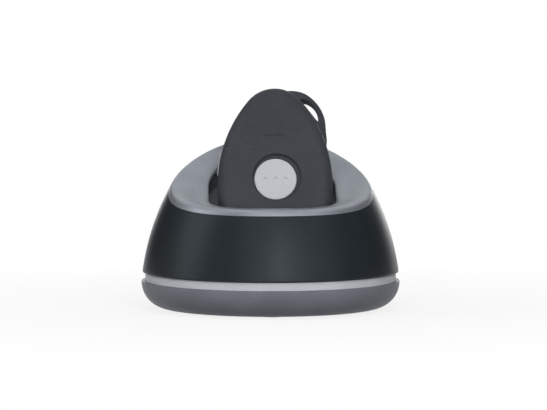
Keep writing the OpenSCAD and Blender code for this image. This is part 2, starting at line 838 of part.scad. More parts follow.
// Insulating block that carries the contacts under the pocket's floor
module contact_block() {
  color("darkslategray") docked() difference() {
    translate([-block_w / 2, contact_y - block_d / 2, block_low_z])
      cube([block_w, block_d, block_top_z - block_low_z]);
    for (x = contact_xs) bar_z(x, contact_y, barrel_r + seat_gap, block_top_z - barrel_l, 0);
    for (s = [-1, 1]) bar_z(s * block_screw_x, contact_y, small_screw_r + seat_gap, block_low_z - 1, 0);
  }
}

module contact_screws() {
  color("silver") docked() for (s = [-1, 1]) {
    bar_z(s * block_screw_x, contact_y, small_screw_head_r, block_low_z - small_screw_head_h, block_low_z);
    bar_z(s * block_screw_x, contact_y, small_screw_r, block_low_z, block_screw_end_z);
  }
}

module contact_barrels() {
  color("gold") docked() for (x = contact_xs) difference() {
    bar_z(x, contact_y, barrel_r, block_top_z - barrel_l, block_top_z);
    bar_z(x, contact_y, pin_shoulder_r + seat_gap, barrel_floor_z, block_top_z - barrel_cap);
    bar_z(x, contact_y, pin_r + seat_gap, block_top_z - 1, 0);
  }
}

// Coil under a contact pin, as its outer sleeve
module contact_spring(x) {
  color("silver") docked() difference() {
    bar_z(x, contact_y, pin_shoulder_r - seat_gap, barrel_floor_z, shoulder_low_z);
    bar_z(x, contact_y, pin_shoulder_r / 2, barrel_floor_z - 1, 0);
  }
}

module contact_spring_left() {
  contact_spring(contact_xs[0]);
}

module contact_spring_right() {
  contact_spring(contact_xs[1]);
}

// Sprung pin that reaches through the pocket's floor
module contact_pin(x) {
  color("gold") docked() {
    bar_z(x, contact_y, pin_r, shoulder_top_z - nick, pin_tip_z);
    bar_z(x, contact_y, pin_shoulder_r, shoulder_low_z, shoulder_top_z);
  }
}

module contact_pin_left() {
  contact_pin(contact_xs[0]);
}

module contact_pin_right() {
  contact_pin(contact_xs[1]);
}

// Arc-shaped sound slit over the loudspeaker
module sound_slit() {
  half_a = asin(slit_l / 2 / slit_arc_r);
  slab(face_y - 1, face_y + shell_wall + nick / 2) translate([0, button_z]) intersection() {
    difference() {
      circle(r = slit_arc_r + slit_w / 2);
      circle(r = slit_arc_r - slit_w / 2);
    }
    polygon([[0, 0], [far * sin(half_a), far * cos(half_a)], [-far * sin(half_a), far * cos(half_a)]]);
  }
}

// Front half of the pendant's casing
module front_shell() {
  color("dimgray") docked() difference() {
    union() {
      difference() {
        loft(concat(front_layers(0), [[front_rim_y, 0]]));
        loft(concat(front_layers(shell_wall), [[front_rim_y + 1, shell_wall]]));
      }
      bar_y(0, button_z, collar_r, face_y + nick, collar_end_y);
      for (p = posts) bar_y(p[0], p[1], post_r, face_y + nick, split_y);
    }
    bar_y(recess_shift, button_z + recess_shift, recess_r, face_y - 1, recess_y);
    bar_y(0, button_z, button_bore_r, face_y - 1, 0);
    bar_y(0, button_z, button_bore_r + seal_ring_w, seal_groove_y, seal_groove_y + seal_ring_t);
    for (p = posts)
      bar_y(p[0], p[1], small_screw_r + seat_gap, face_y + shell_wall + post_hole_floor, split_y + 1);
    sound_slit();
    for (x = contact_xs) bar_z(x, contact_y, pad_r + seat_gap, -1, shell_wall + 1);
  }
}

// Outer shape of the lanyard loop, from its round shoulder into the pendant's flank
module loop_shape() {
  translate([loop_x, loop_z]) circle(r = loop_r);
  polygon([
    [0, loop_z],
    [0, loop_low_z],
    [half_width(loop_low_z) - loop_foot_in, loop_low_z],
    [loop_x + loop_r + loop_bend_out, loop_bend_z],
    [loop_x + loop_r, loop_z]
  ]);
}

// Slanted slot for the lanyard
module loop_slot() {
  translate([loop_x, loop_z]) rotate(-slot_slope) intersection() {
    translate([0, slot_chord + slot_w - slot_r]) circle(r = slot_r);
    translate([-slot_l, slot_chord]) square([2 * slot_l, slot_l]);
  }
}

// Tab of the loop, with its front sloping back to the right
module loop_tab() {
  difference() {
    slab(loop_front_y, loop_front_y + loop_t) loop_shape();
    translate([loop_x + loop_flat, loop_front_y, 0]) rotate(loop_slope)
      translate([-far / 2, -far, -far / 2]) cube(far);
  }
}

// Rear half of the pendant's casing, with the lanyard loop
module rear_shell() {
  color("dimgray") docked() difference() {
    union() {
      difference() {
        union() {
          loft(concat([[rear_rim_y, 0]], rear_layers(0)));
          loop_tab();
        }
        loft(concat([[rear_rim_y - 1, shell_wall]], rear_layers(shell_wall)));
        slab(rear_rim_y - 1, back_y + 1) loop_slot();
      }
      for (p = posts) bar_y(p[0], p[1], post_r, split_y + seat_gap, back_y - nick);
    }
    for (p = posts) bar_y(p[0], p[1], small_screw_r + run_gap, face_y, back_y + 1);
    for (p = posts) bar_y(p[0], p[1], small_screw_head_r + run_gap, post_seat_y, back_y + 1);
    translate([-pendant_w, key_y - key_t / 2 - run_gap, key_z - key_l / 2 - run_gap])
      cube([pendant_w - nick, key_t + 2 * run_gap, key_l + 2 * run_gap]);
    bar_y(mic_x, mic_z, mic_port_r, 0, back_y + 1);
  }
}

// Gasket between the two shells
module shell_seal() {
  color("black") docked() slab(front_rim_y, rear_rim_y) difference() {
    polygon(outline(seal_inset));
    polygon(outline(shell_wall));
  }
}

module shell_screws() {
  color("silver") docked() for (p = posts) {
    bar_y(p[0], p[1], small_screw_head_r, post_seat_y, post_seat_y + small_screw_head_h);
    bar_y(p[0], p[1], small_screw_r, face_y + shell_wall + 2 * post_hole_floor, post_seat_y);
  }
}

module pendant_board() {
  color("darkgreen") docked() difference() {
    slab(board_y, board_back_y) polygon(outline(board_inset));
    for (p = posts) bar_y(p[0], p[1], post_r + inner_gap, face_y, back_y);
  }
}

module battery() {
  color("silver") docked() translate([-battery_w / 2, board_back_y + seat_gap, battery_z])
    cube([battery_w, battery_t, battery_l]);
}

module loudspeaker() {
  color("black") docked() bar_y(0, speaker_z, speaker_r, speaker_y, speaker_y + speaker_t);
}

// Foam ring that seals the loudspeaker to the face
module speaker_gasket() {
  color("dimgray") docked() difference() {
    bar_y(0, speaker_z, speaker_r, face_y + shell_wall, speaker_y);
    bar_y(0, speaker_z, speaker_r - gasket_w, face_y, 0);
  }
}

// Fine mesh behind the sound slit
module speaker_mesh() {
  color("black") docked() bar_y(0, speaker_z, speaker_r - gasket_w - seat_gap, speaker_y - mesh_t, speaker_y);
}

module microphone() {
  color("gold") docked() translate([mic_x - mic_size[0] / 2, board_back_y, mic_z - mic_size[2] / 2])
    cube(mic_size);
}

module vibration_motor() {
  color("silver") docked() bar_y(motor_x, motor_z, motor_r, board_y - motor_t, board_y);
}

// Screening can over the radio circuits
module radio_shield() {
  color("silver") docked() translate([motor_x + motor_r + shield_gap, board_y - shield_size[1], shield_z])
    cube(shield_size);
}

// Square ceramic antenna for positioning
module position_antenna() {
  color("tan") docked() translate([-patch_w / 2, board_back_y, patch_z - patch_w / 2])
    cube([patch_w, patch_t, patch_w]);
}

// Thin strip round the inside of the tip
module radio_antenna() {
  color("darkorange") docked() slab(board_back_y + 1, board_back_y + 1 + strip_w) intersection() {
    difference() {
      polygon(outline(shell_wall + seat_gap));
      polygon(outline(shell_wall + seat_gap + strip_t));
    }
    translate([-pendant_w / 2, tip_z + strip_rise]) square([pendant_w, tip_r]);
  }
}

// Fixed body of the switch under the call button
module call_switch() {
  color("black") docked() difference() {
    translate([-switch_w / 2, switch_front_y, button_z - switch_w / 2]) cube([switch_w, switch_h, switch_w]);
    bar_y(0, button_z, stem_r + run_gap, face_y, board_y - stem_floor);
  }
}

// Fixed body of the switch behind the side key
module side_switch() {
  color("black") docked() difference() {
    translate([key_switch_x, board_back_y, key_z - key_switch_w / 2])
      cube([key_switch_l, key_switch_h, key_switch_w]);
    translate([key_switch_x - 1, key_y, key_z]) rotate([0, 90, 0])
      cylinder(r = key_stem_r + run_gap, h = key_stem_bore_l + 1);
  }
}

// Two charging pads through the pendant's lower end, with their tails to the board
module charge_pads() {
  color("gold") docked() for (x = contact_xs) {
    bar_z(x, contact_y, pad_r, pad_face_z, shell_wall + pad_head_in);
    bar_z(x, board_y - pad_tail_r - seat_gap, pad_tail_r, shell_wall, board_inset + pad_tail_l);
  }
}

// Sealing ring in the collar round the call button
module button_seal() {
  color("black") docked() difference() {
    bar_y(0, button_z, button_bore_r + seal_ring_w - seat_gap, seal_groove_y, seal_groove_y + seal_ring_t);
    bar_y(0, button_z, button_r + seat_gap, face_y, 0);
  }
}

// Round cap that is pressed to call for help
module call_button_cap() {
  color("lightgray") docked() {
    bar_y(0, button_z, button_r, button_face_y, flange_y + button_flange_t);
    bar_y(0, button_z, button_flange_r, flange_y, flange_y + button_flange_t);
  }
}

// Stem that the call button pushes into its switch
module call_switch_stem() {
  color("white") docked() bar_y(0, button_z, stem_r, flange_y + button_flange_t, stem_end_y);
}

// Side of the pendant's outline, drawn in by an inset, with the side key's half length and flat back
module key_shape(d, half_l) {
  intersection() {
    polygon(outline(d));
    translate([-pendant_w, key_z - half_l]) square([pendant_w + key_back_x, 2 * half_l]);
  }
}

// Long key in the left flank, with the flank's own curve and a wider flange inside the wall
module side_key() {
  color("lightgray") docked() {
    slab(key_y - key_t / 2, key_y + key_t / 2) key_shape(-key_proud, key_l / 2);
    slab(key_y - key_t / 2 - key_flange_w, key_y + key_t / 2 + key_flange_w)
      key_shape(shell_wall + run_gap, key_l / 2 + key_flange_w);
  }
}

// Stem that the side key pushes into its switch
module side_switch_stem() {
  color("white") docked() translate([key_back_x, key_y, key_z])
    rotate([0, 90, 0]) cylinder(r = key_stem_r, h = key_switch_x - key_back_x + key_stem_in);
}

base_shell();
ballast_plate();
rubber_feet();
base_screws();
light_ring();
light_board();
light_leds();
dock_board();
dock_board_screws();
power_socket();
socket_tongue();
light_flex();
contact_flex();
dome_shell();
top_plate();
pocket_liner();
pocket_screws();
contact_block();
contact_screws();
contact_barrels();
contact_spring_left();
contact_spring_right();
contact_pin_left();
contact_pin_right();
front_shell();
rear_shell();
shell_seal();
shell_screws();
pendant_board();
battery();
loudspeaker();
speaker_gasket();
speaker_mesh();
microphone();
vibration_motor();
radio_shield();
position_antenna();
radio_antenna();
call_switch();
side_switch();
charge_pads();
button_seal();
call_button_cap();
call_switch_stem();
side_key();
side_switch_stem();
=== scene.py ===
# %% [markdown]
# # An emergency call pendant in its charging dock
# The dock is a low dome on a grey base, with a light ring between them and a scooped silver plate on top.
# The pendant, a flat teardrop with one large button, leans back in a pocket of that plate.
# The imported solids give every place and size. This script gives each surface that shows its soft edges and
# its finish.

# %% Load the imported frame
import json

import bmesh
import bpy
import numpy as np
from mathutils import Matrix, Vector
from mathutils.geometry import delaunay_2d_cdt


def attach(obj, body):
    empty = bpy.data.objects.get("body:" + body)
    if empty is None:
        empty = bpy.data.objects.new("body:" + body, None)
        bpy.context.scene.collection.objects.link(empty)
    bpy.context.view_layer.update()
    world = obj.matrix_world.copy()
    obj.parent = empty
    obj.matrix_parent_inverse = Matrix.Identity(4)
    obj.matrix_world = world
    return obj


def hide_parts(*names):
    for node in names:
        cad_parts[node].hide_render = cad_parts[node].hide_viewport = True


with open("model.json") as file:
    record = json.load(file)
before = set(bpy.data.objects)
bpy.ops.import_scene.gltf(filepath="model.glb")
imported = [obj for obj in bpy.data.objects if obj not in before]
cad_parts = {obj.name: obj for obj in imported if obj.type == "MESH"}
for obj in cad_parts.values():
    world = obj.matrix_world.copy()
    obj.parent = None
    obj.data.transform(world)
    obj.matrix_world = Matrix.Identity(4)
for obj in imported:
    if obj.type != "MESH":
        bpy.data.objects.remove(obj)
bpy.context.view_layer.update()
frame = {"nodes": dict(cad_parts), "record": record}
nodes = frame["nodes"]
scene = bpy.context.scene

# %% [markdown]
# ## Finishes
# A moulded casing is never one flat colour: its tool leaves a fine grain, its pigment drifts a little over
# the part, and its gloss changes with the grain. A picture of such a surface would need a seam and would blur
# close up, so each finish is built from two noises in object space, at the scale of the real thing: a scale
# of 1000 / p repeats about every p millimetres.
# The grain of a real tool is 0.1 to 0.2 mm wide, too fine to show here, so it is drawn at 0.3 to 0.8 mm.

# %% Colours and nodes
MM = 0.001


def linear(hex_code):
    """Linear RGBA of an sRGB hex colour: ((c + 0.055) / 1.055) ^ 2.4 for each channel, or c / 12.92 near black."""
    c = np.array([int(hex_code[i : i + 2], 16) for i in (1, 3, 5)]) / 255
    c = np.where(c <= 0.04045, c / 12.92, ((c + 0.055) / 1.055) ** 2.4)
    return (*c.tolist(), 1.0)


def add(tree, kind, inputs=None, **settings):
    """Adds one node: settings are its properties, inputs are values for its sockets or outputs to link there."""
    made = tree.nodes.new(kind)
    for key, value in settings.items():
        setattr(made, key, value)
    for key, value in (inputs or {}).items():
        if isinstance(value, bpy.types.NodeSocket):
            tree.links.new(value, made.inputs[key])
        else:
            made.inputs[key].default_value = value
    return made


print("mid grey #808080 in linear light:", round(linear("#808080")[0], 3))

# %% One recipe for moulded, painted and plated parts
GRAIN_DEPTH = 0.2  # depth of the grain as a share of its width


def coated(name, colour, drift, grain_mm, bump, rough, drift_mm=14, specular=0.5, metallic=0.0, **more):
    """Finish with a drift of colour and a fine grain.

    The colour turns to the drift's as the sum of both noises goes from 0.75 to 1.25. The grain's noise is the
    bump too, and takes the roughness from rough[0] to rough[1].
    """
    finish = bpy.data.materials.new(name)
    finish.use_nodes = True
    tree = finish.node_tree
    tree.nodes.clear()
    place = add(tree, "ShaderNodeTexCoord").outputs["Object"]
    cloud = add(tree, "ShaderNodeTexNoise", {"Vector": place, "Scale": 1000 / drift_mm, "Detail": 3.0})
    fine = add(tree, "ShaderNodeTexNoise", {"Vector": place, "Scale": 1000 / grain_mm, "Detail": 2.0})
    both = add(tree, "ShaderNodeMath", {0: cloud.outputs[0], 1: fine.outputs[0]}, operation="ADD")
    share = add(tree, "ShaderNodeMapRange", {"Value": both.outputs[0], "From Min": 0.75, "From Max": 1.25})
    tint = add(tree, "ShaderNodeMix", {0: share.outputs[0], 6: linear(colour), 7: linear(drift)},
               data_type="RGBA")
    gloss = add(tree, "ShaderNodeMapRange", {
        "Value": fine.outputs[0], "To Min": rough[0], "To Max": rough[1]})
    relief = add(tree, "ShaderNodeBump", {
        "Height": fine.outputs[0], "Strength": bump, "Distance": grain_mm * MM * GRAIN_DEPTH})
    body = add(tree, "ShaderNodeBsdfPrincipled", {
        "Base Color": tint.outputs[2], "Roughness": gloss.outputs[0], "Normal": relief.outputs[0],
        "Specular IOR Level": specular, "Metallic": metallic, **more})
    add(tree, "ShaderNodeOutputMaterial", {"Surface": body.outputs[0]})
    return finish


# %% Finishes of the mouldings that show
finishes = {
    # Mid-grey ABS from a satin tool: soft wide gloss along its rounded edge
    "base_grey": coated(
        "moulded_abs_satin_grey", "#7e818a", "#73767e", 0.5, 0.12, (0.40, 0.50), specular=0.12),
    # Frosted acrylic light guide: pale, soft and slightly see-through, with no sharp gloss
    "light_diffuser": coated(
        "moulded_acrylic_frosted", "#d6d9de", "#cdd0d6", 0.6, 0.08, (0.45, 0.6), specular=0.3,
        **{"Subsurface Weight": 0.4, "Subsurface Radius": (0.002, 0.002, 0.002)}),
    # Black ABS from a fine spark-eroded tool: dark, with broad dim reflections that are a little blue
    "dome_black": coated(
        "moulded_abs_satin_black", "#292e32", "#23282c", 0.45, 0.10, (0.32, 0.40), specular=0.16,
        **{"Specular Tint": (0.80, 0.93, 1.0, 1.0)}),
    # Silver paint with fine flakes over ABS: half mirror, half matt, brighter where it faces the light
    "plate_silver": coated("silver_painted_abs", "#949aa1", "#82878f", 0.45, 0.16, (0.36, 0.46), metallic=0.5),
    # Dark grey ABS with a coarser grain that scatters the light into a matt face
    "pendant_grey": coated(
        "moulded_abs_grained_dark_grey", "#3d4045", "#34373c", 0.5, 0.25, (0.55, 0.70), specular=0.2),
    # Pale grey satin ABS of the caps, smoother than the casing round them
    "button_grey": coated(
        "moulded_abs_satin_pale_grey", "#c3c6cb", "#babdc3", 0.5, 0.06, (0.45, 0.55), specular=0.3),
    # Charcoal ABS of the pocket, the switches and the blocks: matt, so a shaded gap stays dark but not black
    "black_plastic": coated("moulded_abs_charcoal", "#565b5f", "#4c5155", 0.4, 0.15, (0.5, 0.65), specular=0.2),
    # Moulded silicone rubber of the feet and seals: matt and nearly black
    "rubber_black": coated("moulded_silicone_rubber", "#18191b", "#131416", 0.5, 0.30, (0.75, 0.9), specular=0.2),
}
print("finishes of mouldings:", sorted(finishes))

# %% Finishes of the inner parts
finishes |= {
    # Zinc-plated and stamped steel, with faint rolling clouds
    "steel": coated("zinc_plated_steel", "#b9bcc0", "#a7aaae", 0.3, 0.10, (0.25, 0.38), 5, metallic=1.0),
    # Gold flashed over brass on the charging contacts: warm, and smoother than the steel
    "gold_plate": coated("gold_plated_brass", "#d8b25c", "#cda24a", 0.3, 0.06, (0.18, 0.28), 3, metallic=1.0),
    # Solder mask over copper: green, glossy, darker where there is no copper under it
    "circuit_board": coated("solder_masked_glass_epoxy", "#1f5c3a", "#164a2d", 0.8, 0.10, (0.25, 0.35), 2.5),
    # White epoxy of the small lamp packages: a warm white with a soft gloss
    "led_white": coated("moulded_white_epoxy", "#efeadb", "#e4dfce", 0.3, 0.05, (0.3, 0.4), 2),
    # Amber film of the ribbon conductors, rolled smooth
    "flex_amber": coated("rolled_polyimide_film", "#b4741f", "#a2661a", 0.5, 0.08, (0.3, 0.42), 3),
    # Crinkled aluminium pouch of the battery: its creases are wider than a grain and catch the light one by one
    "battery_foil": coated(
        "crinkled_aluminium_foil", "#b7bac0", "#a9acb2", 1.5, 0.35, (0.28, 0.42), 6, metallic=0.9),
    # Fired ceramic of the positioning antenna: pale, dry and matt
    "antenna_ceramic": coated("fired_ceramic", "#c9b89c", "#bda98b", 0.4, 0.12, (0.5, 0.65), 4),
}
for part in frame["record"]["subparts"]:
    for held in nodes[part["node"]].material_slots:
        held.material = finishes[part["material_slot"]]


# %% [markdown]
# ## From rows of points to closed pieces
# Each new surface is a grid: a row of points that is carried step by step over the form, as a section is
# along a path. A Bevel modifier on the solids would be quicker, but its rounds have one width, and here a
# round can change along its edge. Rows that meet are welded, so every piece is one closed skin like the
# moulding itself, with its faces turned outward. Lengths are millimetres until the mesh is made.

# %% Grids and soft corners
def skin(rows, close_rows=False, close_round=True, leave_out=None):
    """Patch of quads over rows of points; leave_out is a mask of the quads that are an opening."""
    rows = np.stack(rows)
    r, c = rows.shape[:2]
    i, j = np.meshgrid(np.arange(r - (not close_rows)), np.arange(c - (not close_round)), indexing="ij")
    i1, j1 = (i + 1) % r, (j + 1) % c
    quads = np.stack([i * c + j, i * c + j1, i1 * c + j1, i1 * c + j], -1)
    kept = np.ones(quads.shape[:2], bool) if leave_out is None else ~leave_out
    return rows.reshape(-1, 3), quads[kept]


def soft_rows(corners, radii, steps=6):
    """Rows along a path of corner rows.

    Each inner corner is a quadratic Bezier, (1 - t)^2 a + 2 t (1 - t) corner + t^2 b, from one radius before
    it to one after.
    """
    rows = [corners[0]]
    for before, at, after, r in zip(corners, corners[1:], corners[2:], radii):
        back, on = before - at, after - at
        r_in, r_out = np.broadcast_to(r, 2)
        a = at + r_in * back / np.linalg.norm(back, axis=-1, keepdims=True)
        b = at + r_out * on / np.linalg.norm(on, axis=-1, keepdims=True)
        rows += [(1 - t) ** 2 * a + 2 * t * (1 - t) * at + t * t * b for t in np.linspace(0, 1, steps + 1)]
    return rows + [corners[-1]]


square_corner = np.array([[[1.0, 0, 0]], [[0, 0, 0]], [[0, 1.0, 0]]])
print("rows of one soft corner:", len(soft_rows(square_corner, [0.5])))

# %% Pieces
WELD = 1e-7  # metres


def piece(name, patches, body, replaced, slot, sharp=50):
    """One object from patches in mm: welded where they meet, faces outward, smooth below the sharp angle."""
    starts = np.cumsum([0] + [len(points) for points, _ in patches])
    faces = [f for (_, quads), s in zip(patches, starts) for f in (np.asarray(quads) + s).tolist()]
    mesh = bpy.data.meshes.new(name)
    mesh.from_pydata((np.concatenate([points for points, _ in patches]) * MM).tolist(), [], faces)
    bm = bmesh.new()
    bm.from_mesh(mesh)
    bmesh.ops.remove_doubles(bm, verts=bm.verts, dist=WELD)
    bmesh.ops.recalc_face_normals(bm, faces=bm.faces)
    open_edges = sum(len(e.link_faces) != 2 for e in bm.edges)
    bm.to_mesh(mesh)
    bm.free()
    mesh.shade_smooth()
    mesh.set_sharp_from_angle(angle=np.radians(sharp))
    mesh.materials.append(finishes[slot])
    obj = bpy.data.objects.new(name, mesh)
    scene.collection.objects.link(obj)
    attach(obj, body)
    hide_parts(*replaced)
    print(f"{name}: {len(mesh.polygons)} faces, {open_edges} open edges, on {body}")


# %% [markdown]
# ## The light ring
# A frosted ring is moulded with its outer edges just broken, so its section is a rectangle with two soft
# corners. A Screw modifier could turn that section too. Here it goes once round the dock's axis as one array,
# so its radii are the solid's own.

# %% Light ring
# The ring's foot and top, and its inner and outer radius
BASE_TOP, DOME_BOTTOM, RING_IN, RING_OUT = 10.8, 14.0, 41.5, 46.9
RING_EDGE = 0.3


def turned(profile, n=360):
    """Rows of a turned part: each (r, z) of the profile goes once round, x = r cos a, y = r sin a."""
    a = np.linspace(0, 2 * np.pi, n, endpoint=False)
    return [np.stack([r * np.cos(a), r * np.sin(a), np.full(n, z)], -1) for r, z in profile]


ring_section = [(RING_IN, BASE_TOP), (RING_OUT, BASE_TOP), (RING_OUT, DOME_BOTTOM), (RING_IN, DOME_BOTTOM)]
ring = soft_rows(turned(ring_section), [RING_EDGE, RING_EDGE])
piece("light_guide_ring", [skin(ring, close_rows=True)], "dock", ["light_ring"], "light_diffuser")

# %% [markdown]
# ## The dome
# The dome is an arc turned about the dock's axis and cut off by the scoop, a large cylinder lying across the
# dock. Its lower edge is a soft moulded bead over the light ring, and its upper edge is hidden under the
# plate's lip. A Boolean would leave thin faces that shade badly along the cut, so each meridian runs from the
# flange up to where it meets the scoop, and the cut is followed exactly.

# %% Where the scoop cuts the dome
# The dome's radius at its foot, its profile's arc and how far below the foot that is centred, wall, flange
DOME_R, DOME_ARC, DOME_DROP, DOME_WALL, FLANGE_T = 48.0, 93.3, 12.1, 1.8, 1.4
DOME_X = DOME_R - np.sqrt(DOME_ARC**2 - DOME_DROP**2)
DOME_Z = DOME_BOTTOM - DOME_DROP
# The lip's height above the table in front, its own height, and the scoop's radius
LIP_Z, LIP_H, SCOOP_R = 40.4, 2.3, 107.1
SCOOP_Y = -(DOME_X + np.sqrt(DOME_ARC**2 - (LIP_Z - DOME_Z) ** 2))
SCOOP_Z = LIP_Z + SCOOP_R
LIP_FOOT_R = SCOOP_R + LIP_H
MERIDIANS, CUT_SPAN = 480, 60
meridians = np.linspace(0, 2 * np.pi, MERIDIANS, endpoint=False)


def halve(f, low, high, steps=44):
    """Where f crosses zero between low, where it is negative, and high: the span is halved again and again."""
    for _ in range(steps):
        mid = (low + high) / 2
        under = f(mid) < 0
        low, high = np.where(under, mid, low), np.where(under, high, mid)
    return (low + high) / 2


def dome_radius(z, inset=0.0):
    """Radius of the dome's profile arc at a height: DOME_X + sqrt((DOME_ARC - inset)^2 - (z - DOME_Z)^2)."""
    return DOME_X + np.sqrt(np.maximum((DOME_ARC - inset) ** 2 - (z - DOME_Z) ** 2, 0))


def scoop_height(y, r):
    """Height of the lower side of the scoop's cylinder at a depth: SCOOP_Z - sqrt(r^2 - (y - SCOOP_Y)^2)."""
    return SCOOP_Z - np.sqrt(np.maximum(r * r - (y - SCOOP_Y) ** 2, 0))


def dome_cut(inset, r):
    """Height at which each meridian meets the scoop of radius r."""
    start = np.full(meridians.shape, DOME_BOTTOM)
    return halve(lambda z: z - scoop_height(dome_radius(z, inset) * np.sin(meridians), r), start, start + CUT_SPAN)


outer_cut, inner_cut = dome_cut(0, LIP_FOOT_R), dome_cut(DOME_WALL, LIP_FOOT_R)
print(f"the scoop cuts the dome {outer_cut.min():.1f} to {outer_cut.max():.1f} mm up")

# %% Dome
# The bead's height and radius, the brim's radius, and how far the flange reaches inside the ring
BEAD_H, BEAD_R, BRIM_R, FLANGE_STEP = 1.6, 0.7, 0.3, 0.5


def dome_row(z, inset):
    """Row round the dome at heights z, one for each meridian."""
    r = dome_radius(z, inset)
    return np.stack([r * np.cos(meridians), r * np.sin(meridians), np.broadcast_to(z, r.shape)], -1)


flange_r, flange_z = RING_IN - FLANGE_STEP, DOME_BOTTOM + FLANGE_T
flange_low, flange_top = turned([(flange_r, DOME_BOTTOM), (flange_r, flange_z)], MERIDIANS)
low = DOME_BOTTOM + BEAD_H
rise = [dome_row(low + t * (outer_cut - low), 0.0) for t in np.linspace(0, 1, 48)]
fall = [dome_row(inner_cut + t * (flange_z - inner_cut), DOME_WALL) for t in np.linspace(0, 1, 24)]
bead = soft_rows([flange_low, dome_row(np.full(MERIDIANS, DOME_BOTTOM), 0.0), rise[0]], [BEAD_R])
brim = soft_rows([rise[-2], rise[-1], fall[0]], [BRIM_R])
dome = bead + rise[1:-1] + brim[1:] + fall[1:] + [flange_top]
piece("black_dome", [skin(dome, close_rows=True)], "dock", ["dome_shell"], "dome_black")

# %% [markdown]
# ## The scooped plate
# The silver plate is one moulding: a rounded lip that sits on the dome's edge, a shallow dish inside it, and
# the mouth of the pocket. It could be sculpted from a disc, but then lip and mouth would drift off the solids.
# Seen from the mouth's middle, each ray crosses mouth, dish and lip once, so the plate is one closed section
# carried round that middle, and each crossing is worked out from the solids' own sizes.

# %% Rays over the scoop
LEAN = np.radians(20.0)
SEAT = np.array([1.5, SCOOP_Y + 23.5, 24.8])  # middle of the pendant's lower end
WIDTH = 42.8  # of the pendant
# The mouth's middle and half sizes, across and in depth, and its corners' radius
MOUTH_MID, MOUTH_HALF, MOUTH_R = (-1.0, 4.7), (WIDTH / 2 + 2.25, 18.1), 13.5
RAYS_BACK = 12.5  # the rays' middle lies this far behind the seat
MOUTH_FAR, RIM_FAR = 40, 90  # every ray has left the mouth, and the plate, by these reaches
turns = np.linspace(0, 2 * np.pi, 720, endpoint=False)
MIDDLE = np.array([SEAT[0] + MOUTH_MID[0], SEAT[1] + RAYS_BACK])


def plate_row(reach, r):
    """Row of points at a reach from the mouth's middle, lying on the scoop's cylinder of radius r."""
    x, y = MIDDLE[0] + reach * np.cos(turns), MIDDLE[1] + reach * np.sin(turns)
    return np.stack([x, y, scoop_height(y, r)], -1)


def rim_reach(r, inset):
    """Reach at which a row on the scoop of radius r leaves the dome's profile drawn in by an inset."""
    def outside_dome(reach):
        p = plate_row(reach, r)
        return np.hypot(p[:, 0], p[:, 1]) - dome_radius(p[:, 2], inset)

    return halve(outside_dome, 0 * turns, 0 * turns + RIM_FAR)


def rim_row(r, inset):
    """Row on the scoop of radius r along the dome's profile drawn in by an inset."""
    return plate_row(rim_reach(r, inset), r)


print("pendant's seat, mm:", SEAT.round(2), " scoop's axis at y, z:", round(SCOOP_Y, 2), SCOOP_Z)


# %% Edge of the mouth
def undocked(p):
    """Across and depth in the pendant's leaning frame, of points where it stands: turned back by the lean."""
    q = p - SEAT
    return np.stack([q[:, 0], q[:, 1] * np.cos(LEAN) - q[:, 2] * np.sin(LEAN)], -1)


def mouth_gap(reach, r, wall):
    """Distance outside the mouth, on the scoop of radius r.

    The mouth is a leaning rectangle with round corners, widened by a wall: the length of what lies past the
    corners' centres, less the corners' radius and the wall.
    """
    past = np.abs(undocked(plate_row(reach, r)) - MOUTH_MID) - (np.array(MOUTH_HALF) - MOUTH_R)
    return np.hypot(*np.maximum(past, 0).T) + np.minimum(past.max(1), 0) - MOUTH_R - wall


def mouth_row(r, wall=0.0):
    """Row along the mouth's edge, widened by a wall, on the scoop of radius r."""
    return plate_row(halve(lambda d: mouth_gap(d, r, wall), 0 * turns, 0 * turns + MOUTH_FAR), r)


def smooth(t):
    """0 below 0, 1 above 1 and an even S-curve between them: t * t * (3 - 2 t)."""
    t = np.clip(t, 0, 1)
    return t * t * (3 - 2 * t)


# The dish's depth, its gain to the sides, and where beside the middle and over what width that sets in
DISH_DEPTH, DISH_SIDE, DISH_SIDE_FROM, DISH_SIDE_SPAN = 1.2, 0.9, 17, 10


def dish_radius(reach, share):
    """Radius of the scoop in the dish: larger by a share of its depth, which grows to the left and right."""
    beside = np.abs(reach * np.cos(turns))
    return SCOOP_R + share * (DISH_DEPTH + DISH_SIDE * smooth((beside - DISH_SIDE_FROM) / DISH_SIDE_SPAN))


mouth_reach = halve(lambda d: mouth_gap(d, dish_radius(d, 1.0), 0), 0 * turns, 0 * turns + MOUTH_FAR)
print(f"the mouth's edge lies {mouth_reach.min():.1f} to {mouth_reach.max():.1f} mm from its middle")

# %% Scooped plate
# How far inside the rim the crest lies, the plate's thickness, and its room beside the dome's wall
LIP_CREST, PLATE_T, PLATE_GAP = 1.6, 2.0, 0.05
UNDER_R = SCOOP_R + DISH_DEPTH + PLATE_T
DISH_SWEEP, DISH_POWER = 11.0, 0.75  # the dish sinks over this width, faster at first
# Radii of the lip's foot and of its round outer edge
FOOT_R, LIP_ROUND = 0.2, 1.4
FILLET, FILLET_START = (4.4, 1.0), 4.6  # the mouth's fillet on the dish and down the wall, and where the dish ends

